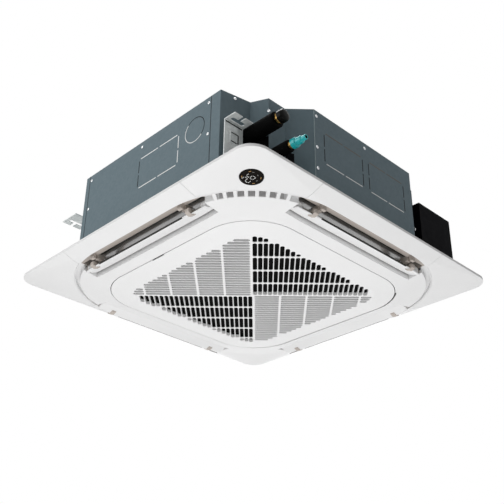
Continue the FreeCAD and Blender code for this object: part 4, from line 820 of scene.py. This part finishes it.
digitSpots = []
for shift, names in ((-0.5, digits["two"]), (0.5, digits["six"])):  # half a spacing each way
    for segment in names:
        for column, row in segments[segment]:
            across = display["shift"][0] + shift * display["spacing"]
            across += (column - display["midColumn"]) * display["pitch"]
            tall = display["shift"][1] + (row - display["midRow"]) * display["pitch"]
            digitSpots.append(displaySpot(across, tall))
dotsAt("displayDigits", digitSpots, display["dot"], "glow")
dotsAt("displayMarks", markSpots(display["marks"]), display["markDot"], "dimMark")
dotsAt("displayLamps", markSpots(display["lamps"]), display["markDot"], "amber")
print("display")


# Floor far below the hung unit, the light and the camera

stageSet = {"level": -2.60, "size": 12.0, "color": (0.88, 0.88, 0.88), "dark": 0.985,
            "roughness": 0.8, "cloud": 0.8}
floor = startPiece("floor", bpy.ops.mesh.primitive_plane_add, size=stageSet["size"],
                   location=(0, 0, stageSet["level"]))
material, tree, shader, place = startFinish("paleFloor", stageSet["color"], stageSet["roughness"])
tint(tree, shader, noise(tree, place, stageSet["cloud"]),
     scaled(stageSet["color"], stageSet["dark"]), stageSet["color"])
floor.data.materials.append(material)

worldLight = {"ambient": 0.25, "seen": 1.0}  # dimmer for diffuse rays than where it is seen
world = bpy.data.worlds.new("studio")
bpy.context.scene.world = world
world.use_nodes = True
worldTree = world.node_tree
background = worldTree.nodes["Background"]
rays = worldTree.nodes.new("ShaderNodeLightPath").outputs
seen = rays["Is Camera Ray"]
for ray in ("Is Glossy Ray", "Is Transmission Ray"):
    seen = larger(worldTree, seen, rays[ray])
strength = remap(worldTree, seen, target=(worldLight["ambient"], worldLight["seen"]))
background.inputs["Color"].default_value = (1, 1, 1, 1)
worldTree.links.new(strength, background.inputs["Strength"])


def addToScene(name, data):
    made = bpy.data.objects.new(name, data)
    bpy.context.scene.collection.objects.link(made)
    return made


lampAim = Vector((0, 0, -0.1))
lamps = {
    "sideLamp": {"spot": (-2.4, 0.5, 0.2), "size": 1.8, "power": 26},
    "lowLamp": {"spot": (-0.3, -0.3, -1.65), "size": 2.4, "power": 21},
    "topLamp": {"spot": (0.4, 0.6, 2.8), "size": 3.0, "power": 130},
    "backLamp": {"spot": (2.2, 2.0, 0.4), "size": 2.0, "power": 25},
}
for lampName, lamp in lamps.items():
    lampData = bpy.data.lights.new(lampName, "AREA")
    lampData.size = lamp["size"]
    lampData.energy = lamp["power"]
    lampObject = addToScene(lampName, lampData)
    lampObject.location = lamp["spot"]
    lampWay = lampAim - Vector(lamp["spot"])
    lampObject.rotation_euler = lampWay.to_track_quat("-Z", "Y").to_euler()

cameraView = {"spot": (-1.500, -1.532, -1.254), "toward": (0.612, 0.627, 0.482),
              "tilt": 0.0111, "lens": 60.37, "sensor": 36}
forward = Vector(cameraView["toward"]).normalized()
levelWay = forward.cross(Vector(upward)).normalized()
overhead = levelWay.cross(forward)
roll = math.asin(cameraView["tilt"] / overhead.z)
right = levelWay * math.cos(roll) + overhead * math.sin(roll)
overhead = right.cross(forward)
cameraData = bpy.data.cameras.new("photoCamera")
cameraData.lens = cameraView["lens"]
cameraData.sensor_width = cameraView["sensor"]
camera = addToScene("photoCamera", cameraData)
turn = Matrix((right, overhead, -forward)).transposed().to_4x4()
camera.matrix_world = Matrix.Translation(cameraView["spot"]) @ turn
bpy.context.scene.camera = camera
bpy.context.scene.view_settings.view_transform = "Standard"
print("stage, light and camera")
